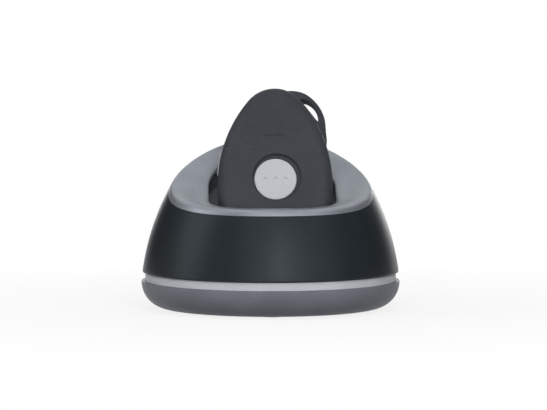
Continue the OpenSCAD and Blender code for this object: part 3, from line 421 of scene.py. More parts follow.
seat_inset = DOME_WALL + PLATE_GAP
seat_low, seat_edge = rim_row(UNDER_R, seat_inset), rim_row(LIP_FOOT_R, seat_inset)
crest_reach = rim_reach(SCOOP_R, LIP_CREST)
dish = []
for t in np.linspace(0, 1, 40)[1:]:
    reach = crest_reach + t * (mouth_reach + FILLET_START - crest_reach)
    sunk = smooth(np.clip((crest_reach - reach) / DISH_SWEEP, 0, 1) ** DISH_POWER)
    dish.append(plate_row(reach, dish_radius(reach, sunk)))
lip_corners = [seat_edge, rim_row(LIP_FOOT_R, 0), rim_row(SCOOP_R, 0), plate_row(crest_reach, SCOOP_R)]
lip = soft_rows(lip_corners, [FOOT_R, LIP_ROUND], 8)
mouth_edge = plate_row(mouth_reach, dish_radius(mouth_reach, 1.0))
mouth = soft_rows([dish[-1], mouth_edge, mouth_row(UNDER_R)], [FILLET], 14)
plate = lip + dish[:-1] + mouth + [seat_low]
piece("scooped_plate", [skin(plate, close_rows=True)], "dock", ["top_plate"], "plate_silver")

# %% [markdown]
# ## The pendant's outline
# The casing's outline is a chain of tangent arcs: two round lower corners, two long sides and a round tip. A
# Bezier curve could be drawn over it by eye, but arcs are what the mould is cut from, and an inset only
# shortens each arc's radius. So one set of rays draws every layer of the casing, from the face over the soft
# edge to the flank. The pendant's own frame leans back and stands on its seat in the dock.

# %% Outline rays
# The pendant's length, the radii of its sides, tip and corners, and its wall
LENGTH, SIDE_R, TIP_R, CORNER_R, WALL = 60.0, 50.2, 12.8, 9.0, 1.6
SIDE_X = SIDE_R - WIDTH / 2
TIP_Z = LENGTH - TIP_R
SIDE_Z = TIP_Z - np.sqrt((SIDE_R - TIP_R) ** 2 - SIDE_X**2)
CORNER_X = np.sqrt((SIDE_R - CORNER_R) ** 2 - (SIDE_Z - CORNER_R) ** 2) - SIDE_X
CORNER_A = np.arctan2(CORNER_R - SIDE_Z, CORNER_X + SIDE_X)
TIP_A = np.arctan2(TIP_Z - SIDE_Z, SIDE_X)
# The side key's height on the flank, its length, and the gap round it
KEY_Z, KEY_L, KEY_GAP = 32.4, 8.8, 0.1
# Rays on each arc and on the straight lower end; the fifth arc is the side key's
ARC_STEPS, BOTTOM_STEPS = (36, 80, 120, 34, 16, 30, 36), 30
KEY_ARC = 4
KEY_START = sum(ARC_STEPS[:KEY_ARC])
KEY_COLUMNS = slice(KEY_START, KEY_START + ARC_STEPS[KEY_ARC])


def outline(window_inset=0.0):
    """Rays (centre x, centre z, radius, cos a, sin a) round the outline, two of them at the key's ends."""
    up, down = (
        np.pi - np.arcsin((KEY_Z + s * (KEY_L / 2 + KEY_GAP) - SIDE_Z) / (SIDE_R - window_inset)) for s in (1, -1))
    arcs = [
        (CORNER_X, CORNER_R, CORNER_R, -np.pi / 2, CORNER_A),
        (-SIDE_X, SIDE_Z, SIDE_R, CORNER_A, TIP_A),
        (0, TIP_Z, TIP_R, TIP_A, np.pi - TIP_A),
        (SIDE_X, SIDE_Z, SIDE_R, np.pi - TIP_A, up),
        (SIDE_X, SIDE_Z, SIDE_R, up, down),
        (SIDE_X, SIDE_Z, SIDE_R, down, np.pi - CORNER_A),
        (-CORNER_X, CORNER_R, CORNER_R, np.pi - CORNER_A, 1.5 * np.pi),
    ]
    rays = []
    for (x, z, r, a0, a1), n in zip(arcs, ARC_STEPS):
        a = np.linspace(a0, a1, n, endpoint=False)
        rays.append(np.stack([0 * a + x, 0 * a + z, 0 * a + r, np.cos(a), np.sin(a)], -1))
    x = np.linspace(-CORNER_X, CORNER_X, BOTTOM_STEPS, endpoint=False)
    return np.concatenate(rays + [np.stack([x, 0 * x, 0 * x, 0 * x, 0 * x - 1], -1)])


rays, inner_rays = outline(), outline(WALL)
print("outline rays:", len(rays))

# %% Layers of the casing
EDGE_W, EDGE_D = 2.6, 4.5  # width and depth of the soft edge


def docked(x, y, z):
    """Points of the pendant's own frame where it stands: turned about x by the lean, then moved to the seat."""
    c, s = np.cos(LEAN), np.sin(LEAN)
    return np.stack(np.broadcast_arrays(SEAT[0] + x, SEAT[1] + y * c + z * s, SEAT[2] - y * s + z * c), -1)


def rim_xz(inset, by=rays):
    """Across and height round the outline at an inset: centre + (radius - inset) * direction."""
    return by[:, 0] + (by[:, 2] - inset) * by[:, 3], by[:, 1] + (by[:, 2] - inset) * by[:, 4]


def layer(y, inset, by=rays):
    """Row round the outline at a depth and an inset."""
    x, z = rim_xz(inset, by)
    return docked(x, y, z)


def edge(inset=0.0, steps=14):
    """(depth, inset) from the flank, over the quarter ellipse of the soft edge, to the flat face."""
    a = np.linspace(0, np.pi / 2, steps + 1)
    return np.stack([(EDGE_D - inset) * (1 - np.sin(a)) + inset, inset + (EDGE_W - inset) * (1 - np.cos(a))], -1)


print("the pendant's tip stands", (layer(0, 0)[:, 2].max()).round(1), "mm up")

# %% [markdown]
# ## The front casing
# The face is flat inside its soft edge, which is wider on the right and widest towards the tip. Round the
# button it dips into a shallow cove, a little wider above and to the right, and above that a thin slit lets
# the loudspeaker's sound out. Cuts with Booleans would break the face's grid, so all of it is drawn on circles
# about the button, and cove and slit lie along the grid: the button's bore, the cove, the face, the edge, the
# flank and back along the inside.

# %% Face round the button
# Depths in the pendant's own frame, and heights along it
FACE_Y, FRONT_RIM = -8.0, -0.75
BUTTON_Z, BORE_R, COLLAR_R, COLLAR_END = 24.1, 8.0, 10.35, -4.8
# The cove's radius, its depth, and its shift up and to the right
RECESS_R, RECESS_DEPTH, RECESS_SHIFT = 9.0, 1.1, 0.55
# The slit's distance from the button, half its length and width, its depth, and its walls' width
SLIT_R, SLIT_HALF_L, SLIT_HALF_W, SLIT_DEPTH, SLIT_RAMP = 16.95, 4.15, 0.2, 0.2, 0.1
# The cove's section: shares of its depth at distances from its middle
COVE_Q = RECESS_R + np.array([-0.75, -0.5, -0.3, -0.15, -0.05, 0.05, 0.15, 0.3])
COVE_SHARE = [1, 0.96, 0.86, 0.70, 0.48, 0.22, 0.06, 0]
RIGHT_EDGE, TIP_EDGE = 1.4, 0.8  # what the soft edge gains in width on the right, and again towards the tip

ray_x, ray_z = rim_xz(0)
# The gain sets in from 3 to 8 mm right of the middle, and from 30 to 44 mm up
to_right, to_tip = smooth((ray_x - 3) / 5), smooth((ray_z - 30) / 14)
front_edge_w = EDGE_W + to_right * (RIGHT_EDGE + TIP_EDGE * to_tip)
rim = np.stack([ray_x - front_edge_w * rays[:, 3], ray_z - front_edge_w * rays[:, 4] - BUTTON_Z])
face_reach, face_turn = np.hypot(*rim), np.arctan2(rim[1], rim[0])


def face_row(reach):
    """Row of the face at a reach from the button's middle, sunk in the cove and in the sound slit."""
    x, z = reach * np.cos(face_turn), reach * np.sin(face_turn)
    cove = np.interp(np.hypot(x - RECESS_SHIFT, z - RECESS_SHIFT), COVE_Q, COVE_SHARE) * RECESS_DEPTH
    past_end = np.abs(face_turn - np.pi / 2) - (SLIT_HALF_L - SLIT_HALF_W) / SLIT_R
    to_slit = np.hypot(reach - SLIT_R, SLIT_R * np.maximum(past_end, 0))
    slit = SLIT_DEPTH * smooth((SLIT_HALF_W + SLIT_RAMP / 2 - to_slit) / SLIT_RAMP)
    return docked(x, FACE_Y + cove + slit, BUTTON_Z + z)


def bore_row(r, y):
    """Circle about the button's axis at a depth, with a point for each ray of the face."""
    return docked(r * np.cos(face_turn), y, BUTTON_Z + r * np.sin(face_turn))


print(f"soft edge of the front: {front_edge_w.min():.1f} to {front_edge_w.max():.1f} mm wide")

# %% Front casing
COVE_END = 10.4  # reach at which the cove has run out into the flat face
# Room that the rows leave beside the slit, and their shares of the way to the edge elsewhere
SLIT_ROOM, NEAR_SHARE, FAR_SHARE = 0.6, 0.35, 0.45
SMALL_EDGE = 0.2  # radius of the bore's edge and the rim's
LEDGE, FIRST_ROW, FLANK = 0.3, 0.36, 0.5  # ledge round the bore, first row past it, flank under the soft edge
# Steps across the slit, crowded where its two walls stand
SLIT_STEPS = [0, 0.1, 0.15, 0.18, 0.2, 0.22, 0.25, 0.3, 0.5, 0.7, 0.75, 0.78, 0.8, 0.82, 0.85, 0.9]

# Above the button the rows close in on the slit, and elsewhere they lie at shares of the way to the edge
inner_cos, outer_cos = np.cos(np.radians(20)), np.cos(np.radians(42))
above = smooth((np.cos(face_turn - np.pi / 2) - outer_cos) / (inner_cos - outer_cos))
to_edge = face_reach - COVE_END
slit_near = COVE_END + NEAR_SHARE * to_edge * (1 - above) + (SLIT_R - SLIT_ROOM - COVE_END) * above
slit_far = COVE_END + FAR_SHARE * to_edge * (1 - above) + (SLIT_R + SLIT_ROOM - COVE_END) * above
recess_y = FACE_Y + RECESS_DEPTH
bore_corners = [bore_row(BORE_R, COLLAR_END), bore_row(BORE_R, recess_y), bore_row(BORE_R + LEDGE, recess_y)]
rim_corners = [layer(FACE_Y + EDGE_D + FLANK, 0), layer(FRONT_RIM, 0), layer(FRONT_RIM, WALL)]
front = soft_rows(bore_corners, [SMALL_EDGE])
front += [face_row(0 * face_reach + r) for r in np.linspace(BORE_R + FIRST_ROW, COVE_END, 28)]
front += [face_row(COVE_END + t * (slit_near - COVE_END)) for t in np.linspace(0, 1, 8)[1:-1]]
front += [face_row(slit_near + t * (slit_far - slit_near)) for t in SLIT_STEPS]
front += [face_row(slit_far + t * (face_reach - slit_far)) for t in np.linspace(0, 1, 12)[:-1]]
front += [layer(FACE_Y + y, d / EDGE_W * front_edge_w) for y, d in edge()[::-1]]
front += soft_rows(rim_corners, [SMALL_EDGE])
front += [layer(FACE_Y + y, d) for y, d in edge(WALL, 6)]
front += [bore_row(COLLAR_R, FACE_Y + WALL), bore_row(COLLAR_R, COLLAR_END)]
piece("front_casing", [skin(front, close_rows=True)], "pendant", ["front_shell"], "pendant_grey")

# %% [markdown]
# ## The rear casing and the lanyard loop
# The rear half repeats the outline and the soft edge, and has four screw holes, a microphone hole and the
# side key's window. The window lies on the grid's own lines, so its quads are just left out and its frame is
# closed with strips. Round holes don't lie on those lines, so the flat back is filled with triangles between
# its rim and the holes' rims.
# The loop is a short arm that springs from the right flank and leans back, pierced by a slot that is straight
# on the inner side and round on the outer. From the slot's middle every ray leaves the slot once and the arm
# once, so the arm is a section carried round that middle, as the plate is.

# %% Rear wall with the key's window
# The flat back, the rear half's rim, and the side key's depth and thickness
BACK_Y, REAR_RIM = 8.0, -0.25
KEY_Y, KEY_T = 1.75, 2.4
WINDOW_LOW, WINDOW_HIGH = KEY_Y - KEY_T / 2 - KEY_GAP, KEY_Y + KEY_T / 2 + KEY_GAP
flank_ys = np.concatenate([[WINDOW_LOW], np.linspace(KEY_Y - 1, KEY_Y + 1, 4), [WINDOW_HIGH]])


def pole(row):
    """A row drawn together in its middle, which closes the end of a skin."""
    return np.broadcast_to(row.mean(0), row.shape)


def rear_wall(inset, by, steps):
    """Rows of the rear half from its window's lower edge to its flat back, outside or inside the wall."""
    rows = [layer(y, inset, by) for y in flank_ys]
    return rows + [layer(BACK_Y - y, d, by) for y, d in edge(inset, steps)]


outside, inside = rear_wall(0.0, rays, 14), rear_wall(WALL, inner_rays, 8)
window = np.zeros((len(outside) - 1, len(rays)), bool)
window[: len(flank_ys) - 1, KEY_COLUMNS] = True
ends = slice(KEY_COLUMNS.start, KEY_COLUMNS.stop + 1)
strips = [(outside[k][ends], inside[k][ends]) for k in (0, len(flank_ys) - 1)]
outer_grid, inner_grid = np.stack(outside)[: len(flank_ys)], np.stack(inside)[: len(flank_ys)]
strips += [(outer_grid[:, j], inner_grid[:, j]) for j in (ends.start, ends.stop - 1)]
rim_round = soft_rows([layer(REAR_RIM, WALL), layer(REAR_RIM, 0), outside[0]], [SMALL_EDGE])
rear = [skin(outside, leave_out=window), skin(inside, leave_out=window[: len(inside) - 1])]
rear += [skin(pair, close_round=False) for pair in strips]
rear.append(skin([inside[0], layer(REAR_RIM, WALL, inner_rays)] + rim_round))
rear.append(skin([inside[-1], pole(inside[-1])]))
print("quads left out for the side key:", window.sum())

# %% Screw holes and microphone hole
# The screw posts' heights, insets from the flank, depth of the screws' seats, and the holes' radius
POST_Z, POST_INSET, POST_SEAT, SCREW_HOLE_R = (19.5, 46.4), (4.9, 6.0), 5.0, 1.6
MIC_Z, MIC_R, MIC_DEPTH, MIC_GAP, MIC_HALF = 39.5, 0.6, 1.4, 1.4, 2.5
HOLE_RIM, HOLE_EDGE = 0.25, 0.15
hole_turn = np.linspace(0, 2 * np.pi, 40, endpoint=False)


def hole(x, z, r, y0, y1):
    """A round hole's rim on the back, as (x, z, radius), and the skin of its wall and floor."""
    def ring_at(y, q):
        return docked(x + q * np.cos(hole_turn), y, z + q * np.sin(hole_turn))

    walls = soft_rows([ring_at(y0, r + HOLE_RIM), ring_at(y0, r), ring_at(y1, r)], [HOLE_EDGE])
    return (x, z, r + HOLE_RIM), skin(walls + [pole(walls[-1])])


def flank_x(z, inset):
    """Half the casing's width at a height: sqrt((SIDE_R - inset)^2 - (z - SIDE_Z)^2) - SIDE_X."""
    return np.sqrt((SIDE_R - inset) ** 2 - (z - SIDE_Z) ** 2) - SIDE_X


posts = [(s * flank_x(z, d), z) for z, d in zip(POST_Z, POST_INSET) for s in (-1, 1)]
mic_x = -(flank_x(MIC_Z, WALL + MIC_GAP) - MIC_HALF)
holes = [hole(x, z, SCREW_HOLE_R, BACK_Y, POST_SEAT) for x, z in posts]
holes.append(hole(mic_x, MIC_Z, MIC_R, BACK_Y, BACK_Y - MIC_DEPTH))
rear += [walls for _, walls in holes]
print("holes in the back:", len(holes))


# %% Flat back
def fill(loops):
    """Points and triangles over flat closed loops: a Delaunay mesh that keeps every loop's seam as edges."""
    starts = np.cumsum([0] + [len(loop) for loop in loops])
    counts = [np.arange(len(loop)) for loop in loops]
    seams = np.concatenate([np.stack([s + i, s + (i + 1) % len(i)], -1) for i, s in zip(counts, starts)])
    flat = delaunay_2d_cdt([Vector(p) for p in np.concatenate(loops).tolist()], seams.tolist(), [], 1, 1e-6)
    return np.array([tuple(p) for p in flat[0]]), np.array(flat[2])


back_rims = [np.stack(rim_xz(EDGE_W), -1)]
back_rims += [np.stack([x + r * np.cos(hole_turn), z + r * np.sin(hole_turn)], -1) for (x, z, r), _ in holes]
flat_points, flat_faces = fill(back_rims)
centres = flat_points[flat_faces].mean(1)
in_hole = np.any([np.hypot(centres[:, 0] - x, centres[:, 1] - z) < r for (x, z, r), _ in holes], axis=0)
rear.append((docked(flat_points[:, 0], BACK_Y, flat_points[:, 1]), flat_faces[~in_hole]))
print("triangles of the flat back:", (~in_hole).sum())

# %% Slot and arm of the loop
# The loop's middle, radius, front, thickness, and how far its front stays flat
LOOP_X, LOOP_Z, LOOP_R, LOOP_FRONT, LOOP_T, LOOP_FLAT = 6.2, 47.6, 13.0, 0.25, 6.5, 5.0
LOOP_SLOPE, SLOT_SLOPE = np.radians(25.0), np.radians(50.0)
# The slot's straight side, from the loop's middle, its width and length, and how soft its corners are
SLOT_CHORD, SLOT_W, SLOT_L, SLOT_SOFT = 8.7, 2.6, 10.6, 0.2
SLOT_EYE = 1.1  # the rays' middle lies this far past the slot's straight side
# Where the tip's arc begins, how deep the arm roots in the casing, and its least thickness
TIP_START, ARM_SINK, ARM_LEAST = 55.3, 0.8, 1.4
# The arm's foot leaves the flank, runs a little past the loop's circle and joins it
FOOT_Z = LOOP_Z - LOOP_R * np.array([0.8, 0.415, 0])
FOOT_X = [flank_x(FOOT_Z[0], 0.2), LOOP_X + LOOP_R + 0.45, LOOP_X + LOOP_R]
SLOT_FAR, ARM_FAR = 9, 30  # every ray has left the slot, and the arm, by these reaches
loop_turn = np.linspace(0, 2 * np.pi, 720, endpoint=False)
along = np.array([np.cos(SLOT_SLOPE), -np.sin(SLOT_SLOPE)])
outward = np.array([np.sin(SLOT_SLOPE), np.cos(SLOT_SLOPE)])
slot_mid = np.array([LOOP_X, LOOP_Z]) + outward * (SLOT_CHORD + SLOT_EYE)
slot_r = (SLOT_L**2 / 4 + SLOT_W**2) / (2 * SLOT_W)


def loop_xz(reach):
    """Across and height at a reach from the slot's middle."""
    return slot_mid[0] + reach * np.cos(loop_turn), slot_mid[1] + reach * np.sin(loop_turn)


def slot_gap(reach):
    """Negative inside the slot: k log(exp(a / k) + exp(b / k)), a soft maximum of its two sides."""
    x, z = loop_xz(reach)
    s = (x - LOOP_X) * along[0] + (z - LOOP_Z) * along[1]
    t = (x - LOOP_X) * outward[0] + (z - LOOP_Z) * outward[1]
    straight, curved = SLOT_CHORD - t, np.hypot(s, t - (SLOT_CHORD + SLOT_W - slot_r)) - slot_r
    return SLOT_SOFT * np.log(np.exp(straight / SLOT_SOFT) + np.exp(curved / SLOT_SOFT))


def arm_gap(reach):
    """Negative inside the arm: in the loop's circle or its foot on the flank, and outside the sunk casing."""
    x, z = loop_xz(reach)
    circle = np.hypot(x - LOOP_X, z - LOOP_Z) - LOOP_R
    foot = np.maximum(x - np.interp(z, FOOT_Z, FOOT_X), np.maximum(FOOT_Z[0] - z, z - LOOP_Z))
    tip, flank = np.hypot(x, z - TIP_Z) - (TIP_R - ARM_SINK), x - flank_x(np.minimum(z, TIP_START), ARM_SINK)
    return np.maximum(np.minimum(circle, foot), -np.where(z > TIP_START, tip, flank))


slot_reach = halve(slot_gap, 0 * loop_turn, 0 * loop_turn + SLOT_FAR)
arm_reach = halve(arm_gap, 0 * loop_turn, 0 * loop_turn + ARM_FAR)
print(f"loop: {(arm_reach - slot_reach).min():.1f} mm thick at its thinnest")

# %% Lanyard loop and rear casing
loop_back = LOOP_FRONT + LOOP_T
SLOT_EDGES, ARM_EDGES = [0.45, 0.4], [0.55, 0.7]


def arm_row(share, y=None):
    """Row at a share of the way from slot to rim: on the front, which leans back to the right, or at a depth."""
    x, z = loop_xz(slot_reach + share * (arm_reach - slot_reach))
    past = x - LOOP_X - LOOP_FLAT
    front_y = LOOP_FRONT + np.tan(LOOP_SLOPE) * (past + np.sqrt(past**2 + 1)) / 2
    return docked(x, np.minimum(front_y, loop_back - ARM_LEAST) if y is None else y, z)


slot_corners = [arm_row(0.5, loop_back), arm_row(0, loop_back), arm_row(0), arm_row(0.45)]
arm_corners = [arm_row(0.55), arm_row(1), arm_row(1, loop_back), arm_row(0.5, loop_back)]
loop = soft_rows(slot_corners, SLOT_EDGES) + [arm_row(t) for t in (0.48, 0.51, 0.54)]
rear.append(skin(loop + soft_rows(arm_corners, ARM_EDGES)))
piece("rear_casing", rear, "pendant", ["rear_shell"], "pendant_grey", 40)

# %% [markdown]
# ## The call button
# The cap is a round moulding with a soft rim and the faintest crown, so its edge draws a thin line of shade.
# Three small dimples let a thumb find it in the dark. A bump in the finish could draw them, but then they
# would be missing from the mesh, so the face is a height over circles instead.

# %% Call button
BUTTON_R, BUTTON_FACE = 7.9, -7.4
CAP_FLAT, CAP_FLANGE_R, CAP_FLANGE_Y, CAP_END, CAP_EDGE = 7.0, 8.8, -4.5, -3.9, 0.5
# Height of the crown, and the dimples' spacing, radius and depth
CROWN, DIMPLE_STEP, DIMPLE_R, DIMPLE_DEPTH = 0.1, 3.6, 0.9, 0.4
cap_turn = np.linspace(0, 2 * np.pi, 180, endpoint=False)


def cap_row(r, y):
    """Circle about the button's axis at a depth."""
    return docked(r * np.cos(cap_turn), y, BUTTON_Z + r * np.sin(cap_turn))


def cap_face(r):
    """Row of the cap's face: a crown, 1 - (r / R)^2, and three dimples, each 1 - (distance / radius)^2."""
    x, z = r * np.cos(cap_turn), r * np.sin(cap_turn)
    dimples = sum(np.maximum(0, 1 - ((x - DIMPLE_STEP * k) ** 2 + z**2) / DIMPLE_R**2) for k in (-1, 0, 1))
    return cap_row(r, BUTTON_FACE - CROWN * (1 - (r / BUTTON_R) ** 2) + DIMPLE_DEPTH * dimples)


cap = [pole(cap_face(0.0))] + [cap_face(r) for r in np.linspace(0.1, CAP_FLAT - 0.1, 60)]
cap += soft_rows([cap_face(CAP_FLAT), cap_row(BUTTON_R, BUTTON_FACE), cap_row(BUTTON_R, CAP_FLANGE_Y)], [CAP_EDGE])
cap_end = cap_row(CAP_FLANGE_R, CAP_END)
cap += [cap_row(CAP_FLANGE_R, CAP_FLANGE_Y), cap_end, pole(cap_end)]
piece("call_button", [skin(cap)], "call_button", ["call_button_cap"], "button_grey")

# %% [markdown]
# ## The side key
# A long key follows the left flank's curve and stands a little proud of it, with its four edges rounded for
# the finger. A bevelled box would be straight, so a small section is carried along the flank's own arc and
# sinks at both ends.

# %% Side key
# How far the key stands proud, how deep it is rooted, and the rounds of its edges and ends
KEY_PROUD, KEY_ROOT, KEY_EDGE, KEY_END = 0.45, 1.4, 0.45, 0.5
half_steps = np.array([0, 0.5, 0.8, 0.89, 0.93, 0.96, 0.98, 0.995, 1])
key_zs = KEY_Z + KEY_L / 2 * np.concatenate([-half_steps[:0:-1], half_steps])


def key_row(z):
    """Section of the key at a height: root, two soft outer corners and root; its ends sink by a quarter circle."""
    past = np.clip((abs(z - KEY_Z) - (KEY_L / 2 - KEY_END)) / KEY_END, 0, 1)
    proud = -KEY_PROUD + KEY_END * (1 - np.sqrt(1 - past**2))
    low_y, high_y = KEY_Y - KEY_T / 2, KEY_Y + KEY_T / 2
    section = [(low_y, KEY_ROOT), (low_y, proud), (high_y, proud), (high_y, KEY_ROOT)]
    corners = [docked(np.array([-flank_x(z, d)]), y, z) for y, d in section]
    return np.concatenate(soft_rows(corners, [KEY_EDGE, KEY_EDGE]))


key = [key_row(z) for z in key_zs]
piece("side_key_cap", [skin([pole(key[0])] + key + [pole(key[-1])])], "side_button", ["side_key"], "button_grey")

# %% [markdown]
# ## The pocket
# The cup under the mouth repeats the pendant's own outline with a little room round it, so the pendant drops
# in and stands by itself. A tray round its brim closes the plate's mouth: a low wall under the mouth's edge
# and a floor that follows the scoop a few millimetres deeper. Solidify could give the cup its wall, but not
# along the slanting brim, so inside and outside are two skins that the floor and the wall join.

# %% Pocket's cup
# Room round the pendant, the cup's wall, and how far the tray lies below the plate
POCKET_GAP, LINER_WALL, TRAY_DEPTH = 0.4, 1.6, 4.0
TRAY_R = UNDER_R + TRAY_DEPTH
tray_under = TRAY_R + LINER_WALL


def cut_height(y, r):
    """Height along the pendant at which a depth y meets the scoop of radius r: a root of the circle's equation."""
    a = SEAT[1] + y * np.cos(LEAN) - SCOOP_Y
    b = SEAT[2] - y * np.sin(LEAN) - SCOOP_Z
    half = a * np.sin(LEAN) + b * np.cos(LEAN)
    return -half - np.sqrt(half**2 - (a * a + b * b - r * r))


def cup_row(y, d, r):
    """Row down one side of the outline, along the bottom and up the other, cut at the scoop of radius r."""
    top = np.arcsin((cut_height(y, r) - SIDE_Z) / (SIDE_R - d))
    side = np.linspace(top, CORNER_A, 20, endpoint=False)
    corner = np.linspace(CORNER_A, -np.pi / 2, 24, endpoint=False)
    side_r, corner_r = SIDE_R - d, CORNER_R - d
    x_curved = [-SIDE_X + side_r * np.cos(side), CORNER_X + corner_r * np.cos(corner)]
    z_curved = [SIDE_Z + side_r * np.sin(side), CORNER_R + corner_r * np.sin(corner)]
    x = np.concatenate(x_curved + [[CORNER_X, CORNER_X / 2]])
    z = np.concatenate(z_curved + [[d, d]])
    return docked(np.concatenate([-x, x[::-1]]), y, np.concatenate([z, z[::-1]]))


def cup_skin(d, r):
    """The cup's surface at an inset, with its flat front and back, and the row round its upper edge."""
    depths = [(FACE_Y + y, i) for y, i in edge(d, 10)[::-1]] + [(BACK_Y - y, i) for y, i in edge(d, 10)]
    rows = np.stack([cup_row(y, i, r) for y, i in depths])
    half = rows.shape[1] // 2
    flats = [skin(np.stack([row[:half], row[::-1][:half]]), close_round=False) for row in (rows[0], rows[-1])]
    return [skin(rows, close_round=False)] + flats, np.concatenate([rows[:, 0], rows[::-1, -1]])


cup_in, brim_in = cup_skin(-POCKET_GAP, TRAY_R)
cup_out, brim_out = cup_skin(-POCKET_GAP - LINER_WALL, tray_under)
print(f"the cup's brim lies {brim_in[:, 2].min():.1f} to {brim_in[:, 2].max():.1f} mm up")

# %% Tray round the cup
TRAY_STEP = 0.5  # the tray's wall stands this far behind the mouth's edge


def tray_floor(edge_row, brim, r):
    """Triangles on the scoop of radius r between the tray's wall and the cup's brim.

    A triangle stays if a line from its centre crosses the brim an even number of times.
    """
    brim_flat = undocked(brim)
    points, faces = fill([undocked(edge_row), brim_flat])
    x, y = points[faces].mean(1).T
    x0, y0, x1, y1 = *brim_flat.T[:, :, None], *np.roll(brim_flat, -1, 0).T[:, :, None]
    crossed = ((y0 > y) != (y1 > y)) & (x < x0 + (y - y0) * (x1 - x0) / np.where(y1 == y0, 1, y1 - y0))
    return docked(points[:, 0], points[:, 1], cut_height(points[:, 1], r)), faces[crossed.sum(0) % 2 == 0]


wall_top = UNDER_R + PLATE_GAP
wall_rows = [mouth_row(TRAY_R, TRAY_STEP), mouth_row(wall_top, TRAY_STEP)]
wall_rows += [mouth_row(wall_top, LINER_WALL), mouth_row(tray_under, LINER_WALL)]
floors = [tray_floor(wall_rows[0], brim_in, TRAY_R), tray_floor(wall_rows[3], brim_out, tray_under)]
pocket = cup_in + cup_out + floors + [skin(wall_rows)]
piece("pocket_cup", pocket, "dock", ["pocket_liner"], "black_plastic", 35)


# %% [markdown]
# ## Stage, light and camera
# A pale sheet runs under the object and fades into white, so that the object keeps its soft shadow and the
# background stays white without more light on the object.
# A wide soft box above and a broad low one in front light the shapes evenly. A tall narrow one beside the
# camera draws the dim streak down the dome, another does so at the left edge, and a weak one behind keeps the
# back from going black. Dark cards to the sides keep the white room out of the dome's reflections, as black
# flags do in a studio. The camera stands far off with a long lens, so near and far keep their proportions.

# %% Pale sheet
SHEET_HALF, SHADOW_FROM, SHADOW_TO = 4, 0.05, 0.20  # metres; the sheet fades to plain white between the last two
NEAR_GLOW = 0.84  # share of plain white close to the object


def seen_directly(tree):
    """1 for rays that show the background itself: straight from the camera, off gloss or through glass."""
    path = add(tree, "ShaderNodeLightPath").outputs
    gloss = add(tree, "ShaderNodeMath", {0: path["Is Camera Ray"], 1: path["Is Glossy Ray"]}, operation="MAXIMUM")
    glass = {0: gloss.outputs[0], 1: path["Is Transmission Ray"]}
    return add(tree, "ShaderNodeMath", glass, operation="MAXIMUM").outputs[0]


def pale_sheet():
    """Matt white near the object, where it takes the shadow, and plain white further out."""
    sheet = bpy.data.materials.new("matt_white_paper")
    sheet.use_nodes = True
    tree = sheet.node_tree
    tree.nodes.clear()
    place = add(tree, "ShaderNodeTexCoord").outputs["Object"]
    seen = seen_directly(tree)
    far = add(tree, "ShaderNodeVectorMath", {0: place}, operation="LENGTH").outputs["Value"]
    glow = add(tree, "ShaderNodeMapRange", {
        "Value": far, "From Min": SHADOW_FROM, "From Max": SHADOW_TO, "To Min": NEAR_GLOW, "To Max": 1.0})
    share = add(tree, "ShaderNodeMath", {0: glow.outputs[0], 1: seen}, operation="MULTIPLY").outputs[0]
    # The sheet throws less light back on the object than it shows, so the dome's foot stays dark
    tone = add(tree, "ShaderNodeMix", {0: seen, 6: (0.25, 0.25, 0.25, 1), 7: (0.9, 0.9, 0.9, 1)}, data_type="RGBA")
    matt = add(tree, "ShaderNodeBsdfDiffuse", {"Color": tone.outputs[2]}).outputs[0]
    white = add(tree, "ShaderNodeEmission", {"Color": (1, 1, 1, 1), "Strength": 1.0}).outputs[0]
    both = add(tree, "ShaderNodeMixShader", {0: share, 1: matt, 2: white})
    add(tree, "ShaderNodeOutputMaterial", {"Surface": both.outputs[0]})
    return sheet


h = SHEET_HALF
floor_mesh = bpy.data.meshes.new("pale_sheet")
floor_mesh.from_pydata([(-h, -h, 0), (h, -h, 0), (h, h, 0), (-h, h, 0)], [], [(0, 1, 2, 3)])
floor_mesh.materials.append(pale_sheet())
floor = bpy.data.objects.new("pale_sheet", floor_mesh)
scene.collection.objects.link(floor)
print("sheet:", 2 * h, "m wide")

# %% White room
FRONT_FILL, BACK_FILL = 0.45, 0.2
room = bpy.data.worlds.new("white_room")
room.use_nodes = True
tree = room.node_tree
tree.nodes.clear()
side = add(tree, "ShaderNodeSeparateXYZ", {0: add(tree, "ShaderNodeTexCoord").outputs["Generated"]})
# The room fills the front with more light than the sides and the back
level = add(tree, "ShaderNodeMapRange", {
    "Value": side.outputs["Y"], "From Min": -1.0, "From Max": 0.4, "To Min": FRONT_FILL, "To Max": BACK_FILL})
fill_light = add(tree, "ShaderNodeBackground", {"Color": (1, 1, 1, 1), "Strength": level.outputs[0]}).outputs[0]
white = add(tree, "ShaderNodeBackground", {"Color": (1, 1, 1, 1), "Strength": 1.0}).outputs[0]
mixed = add(tree, "ShaderNodeMixShader", {0: seen_directly(tree), 1: fill_light, 2: white})
add(tree, "ShaderNodeOutputWorld", {"Surface": mixed.outputs[0]})
scene.world = room
print("room's fill light:", FRONT_FILL, "in front,", BACK_FILL, "behind")

# %% Soft boxes and dark cards
CARD_DISTANCE, CARD_STEPS = 0.7, 8
LIGHT_AIM = Vector((0, 0, 0.04))


def soft_box(name, degrees, height, distance, size, power, in_gloss=True):
    """An area light at an angle from the front, aimed at the object; in_gloss lets reflections show it."""
    lamp = bpy.data.lights.new(name, "AREA")
    lamp.shape, lamp.size, lamp.size_y, lamp.energy = "RECTANGLE", *size, power
    azimuth = np.radians(degrees)
    at = Vector((distance * np.sin(azimuth), -distance * np.cos(azimuth), height))
    obj = bpy.data.objects.new(name, lamp)
    obj.matrix_world = Matrix.Translation(at) @ (LIGHT_AIM - at).to_track_quat("-Z", "Y").to_matrix().to_4x4()
    obj.visible_glossy = in_gloss
    scene.collection.objects.link(obj)


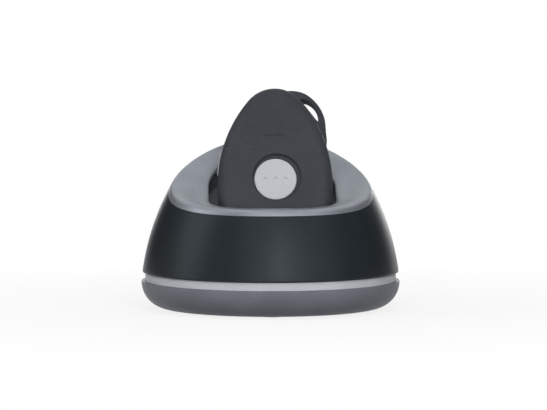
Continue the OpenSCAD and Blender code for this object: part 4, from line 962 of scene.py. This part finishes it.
def dark_card(name, degrees, width, height):
    """A curved card that stands out of the picture and keeps the white room off one side of the object."""
    azimuth, half = np.radians(degrees), np.radians(width) / 2
    turn = np.linspace(azimuth - half, azimuth + half, CARD_STEPS + 1)
    foot = np.stack([CARD_DISTANCE * np.sin(turn), -CARD_DISTANCE * np.cos(turn), 0 * turn], -1)
    points, quads = skin([foot, foot + (0, 0, height)], close_round=False)
    mesh = bpy.data.meshes.new(name)
    mesh.from_pydata(points.tolist(), [], quads.tolist())
    mesh.materials.append(finishes["rubber_black"])
    card = bpy.data.objects.new(name, mesh)
    card.visible_camera = False
    scene.collection.objects.link(card)


dark_card("left_card", -125, 60, 0.6)
dark_card("front_left_card", -48, 36, 1.1)
dark_card("right_card", 100, 80, 0.6)
soft_box("top_box", 10, 1.05, 0.65, (1.1, 1.1), 5.9, in_gloss=False)
soft_box("front_box", 8, 0.36, 1.3, (1.3, 0.7), 4.8)
soft_box("front_strip", 9, 0.3, 1.0, (0.12, 0.5), 1.8)
soft_box("left_strip", -84, 0.3, 0.65, (0.36, 0.6), 1.25)
soft_box("back_box", 175, 0.12, 0.9, (0.7, 0.2), 1.4)
print("soft boxes:", [lamp.name for lamp in bpy.data.lights])

# %% Camera
CAMERA_TURN, CAMERA_RISE, CAMERA_DISTANCE = np.radians(-1.2), np.radians(4.6), 3.0
LENS, SENSOR = 527, 36  # mm
AIM_RIGHT, AIM_UP = 0.0011, 0.0389  # metres from the dock's foot to the picture's middle

right = Vector((np.cos(CAMERA_TURN), np.sin(CAMERA_TURN), 0))
flat_reach = np.cos(CAMERA_RISE)
back = Vector((np.sin(CAMERA_TURN) * flat_reach, -np.cos(CAMERA_TURN) * flat_reach, np.sin(CAMERA_RISE)))
target = AIM_RIGHT * right + AIM_UP * back.cross(right)
lens = bpy.data.cameras.new("front_camera")
lens.sensor_width, lens.lens, lens.clip_start, lens.clip_end = SENSOR, LENS, 0.01, 50
camera = bpy.data.objects.new("front_camera", lens)
turned_back = back.to_track_quat("Z", "Y").to_matrix().to_4x4()
camera.matrix_world = Matrix.Translation(target + CAMERA_DISTANCE * back) @ turned_back
scene.collection.objects.link(camera)
scene.camera = camera
scene.view_settings.view_transform = "Standard"
print("camera at, m:", [round(v, 3) for v in camera.matrix_world.translation])
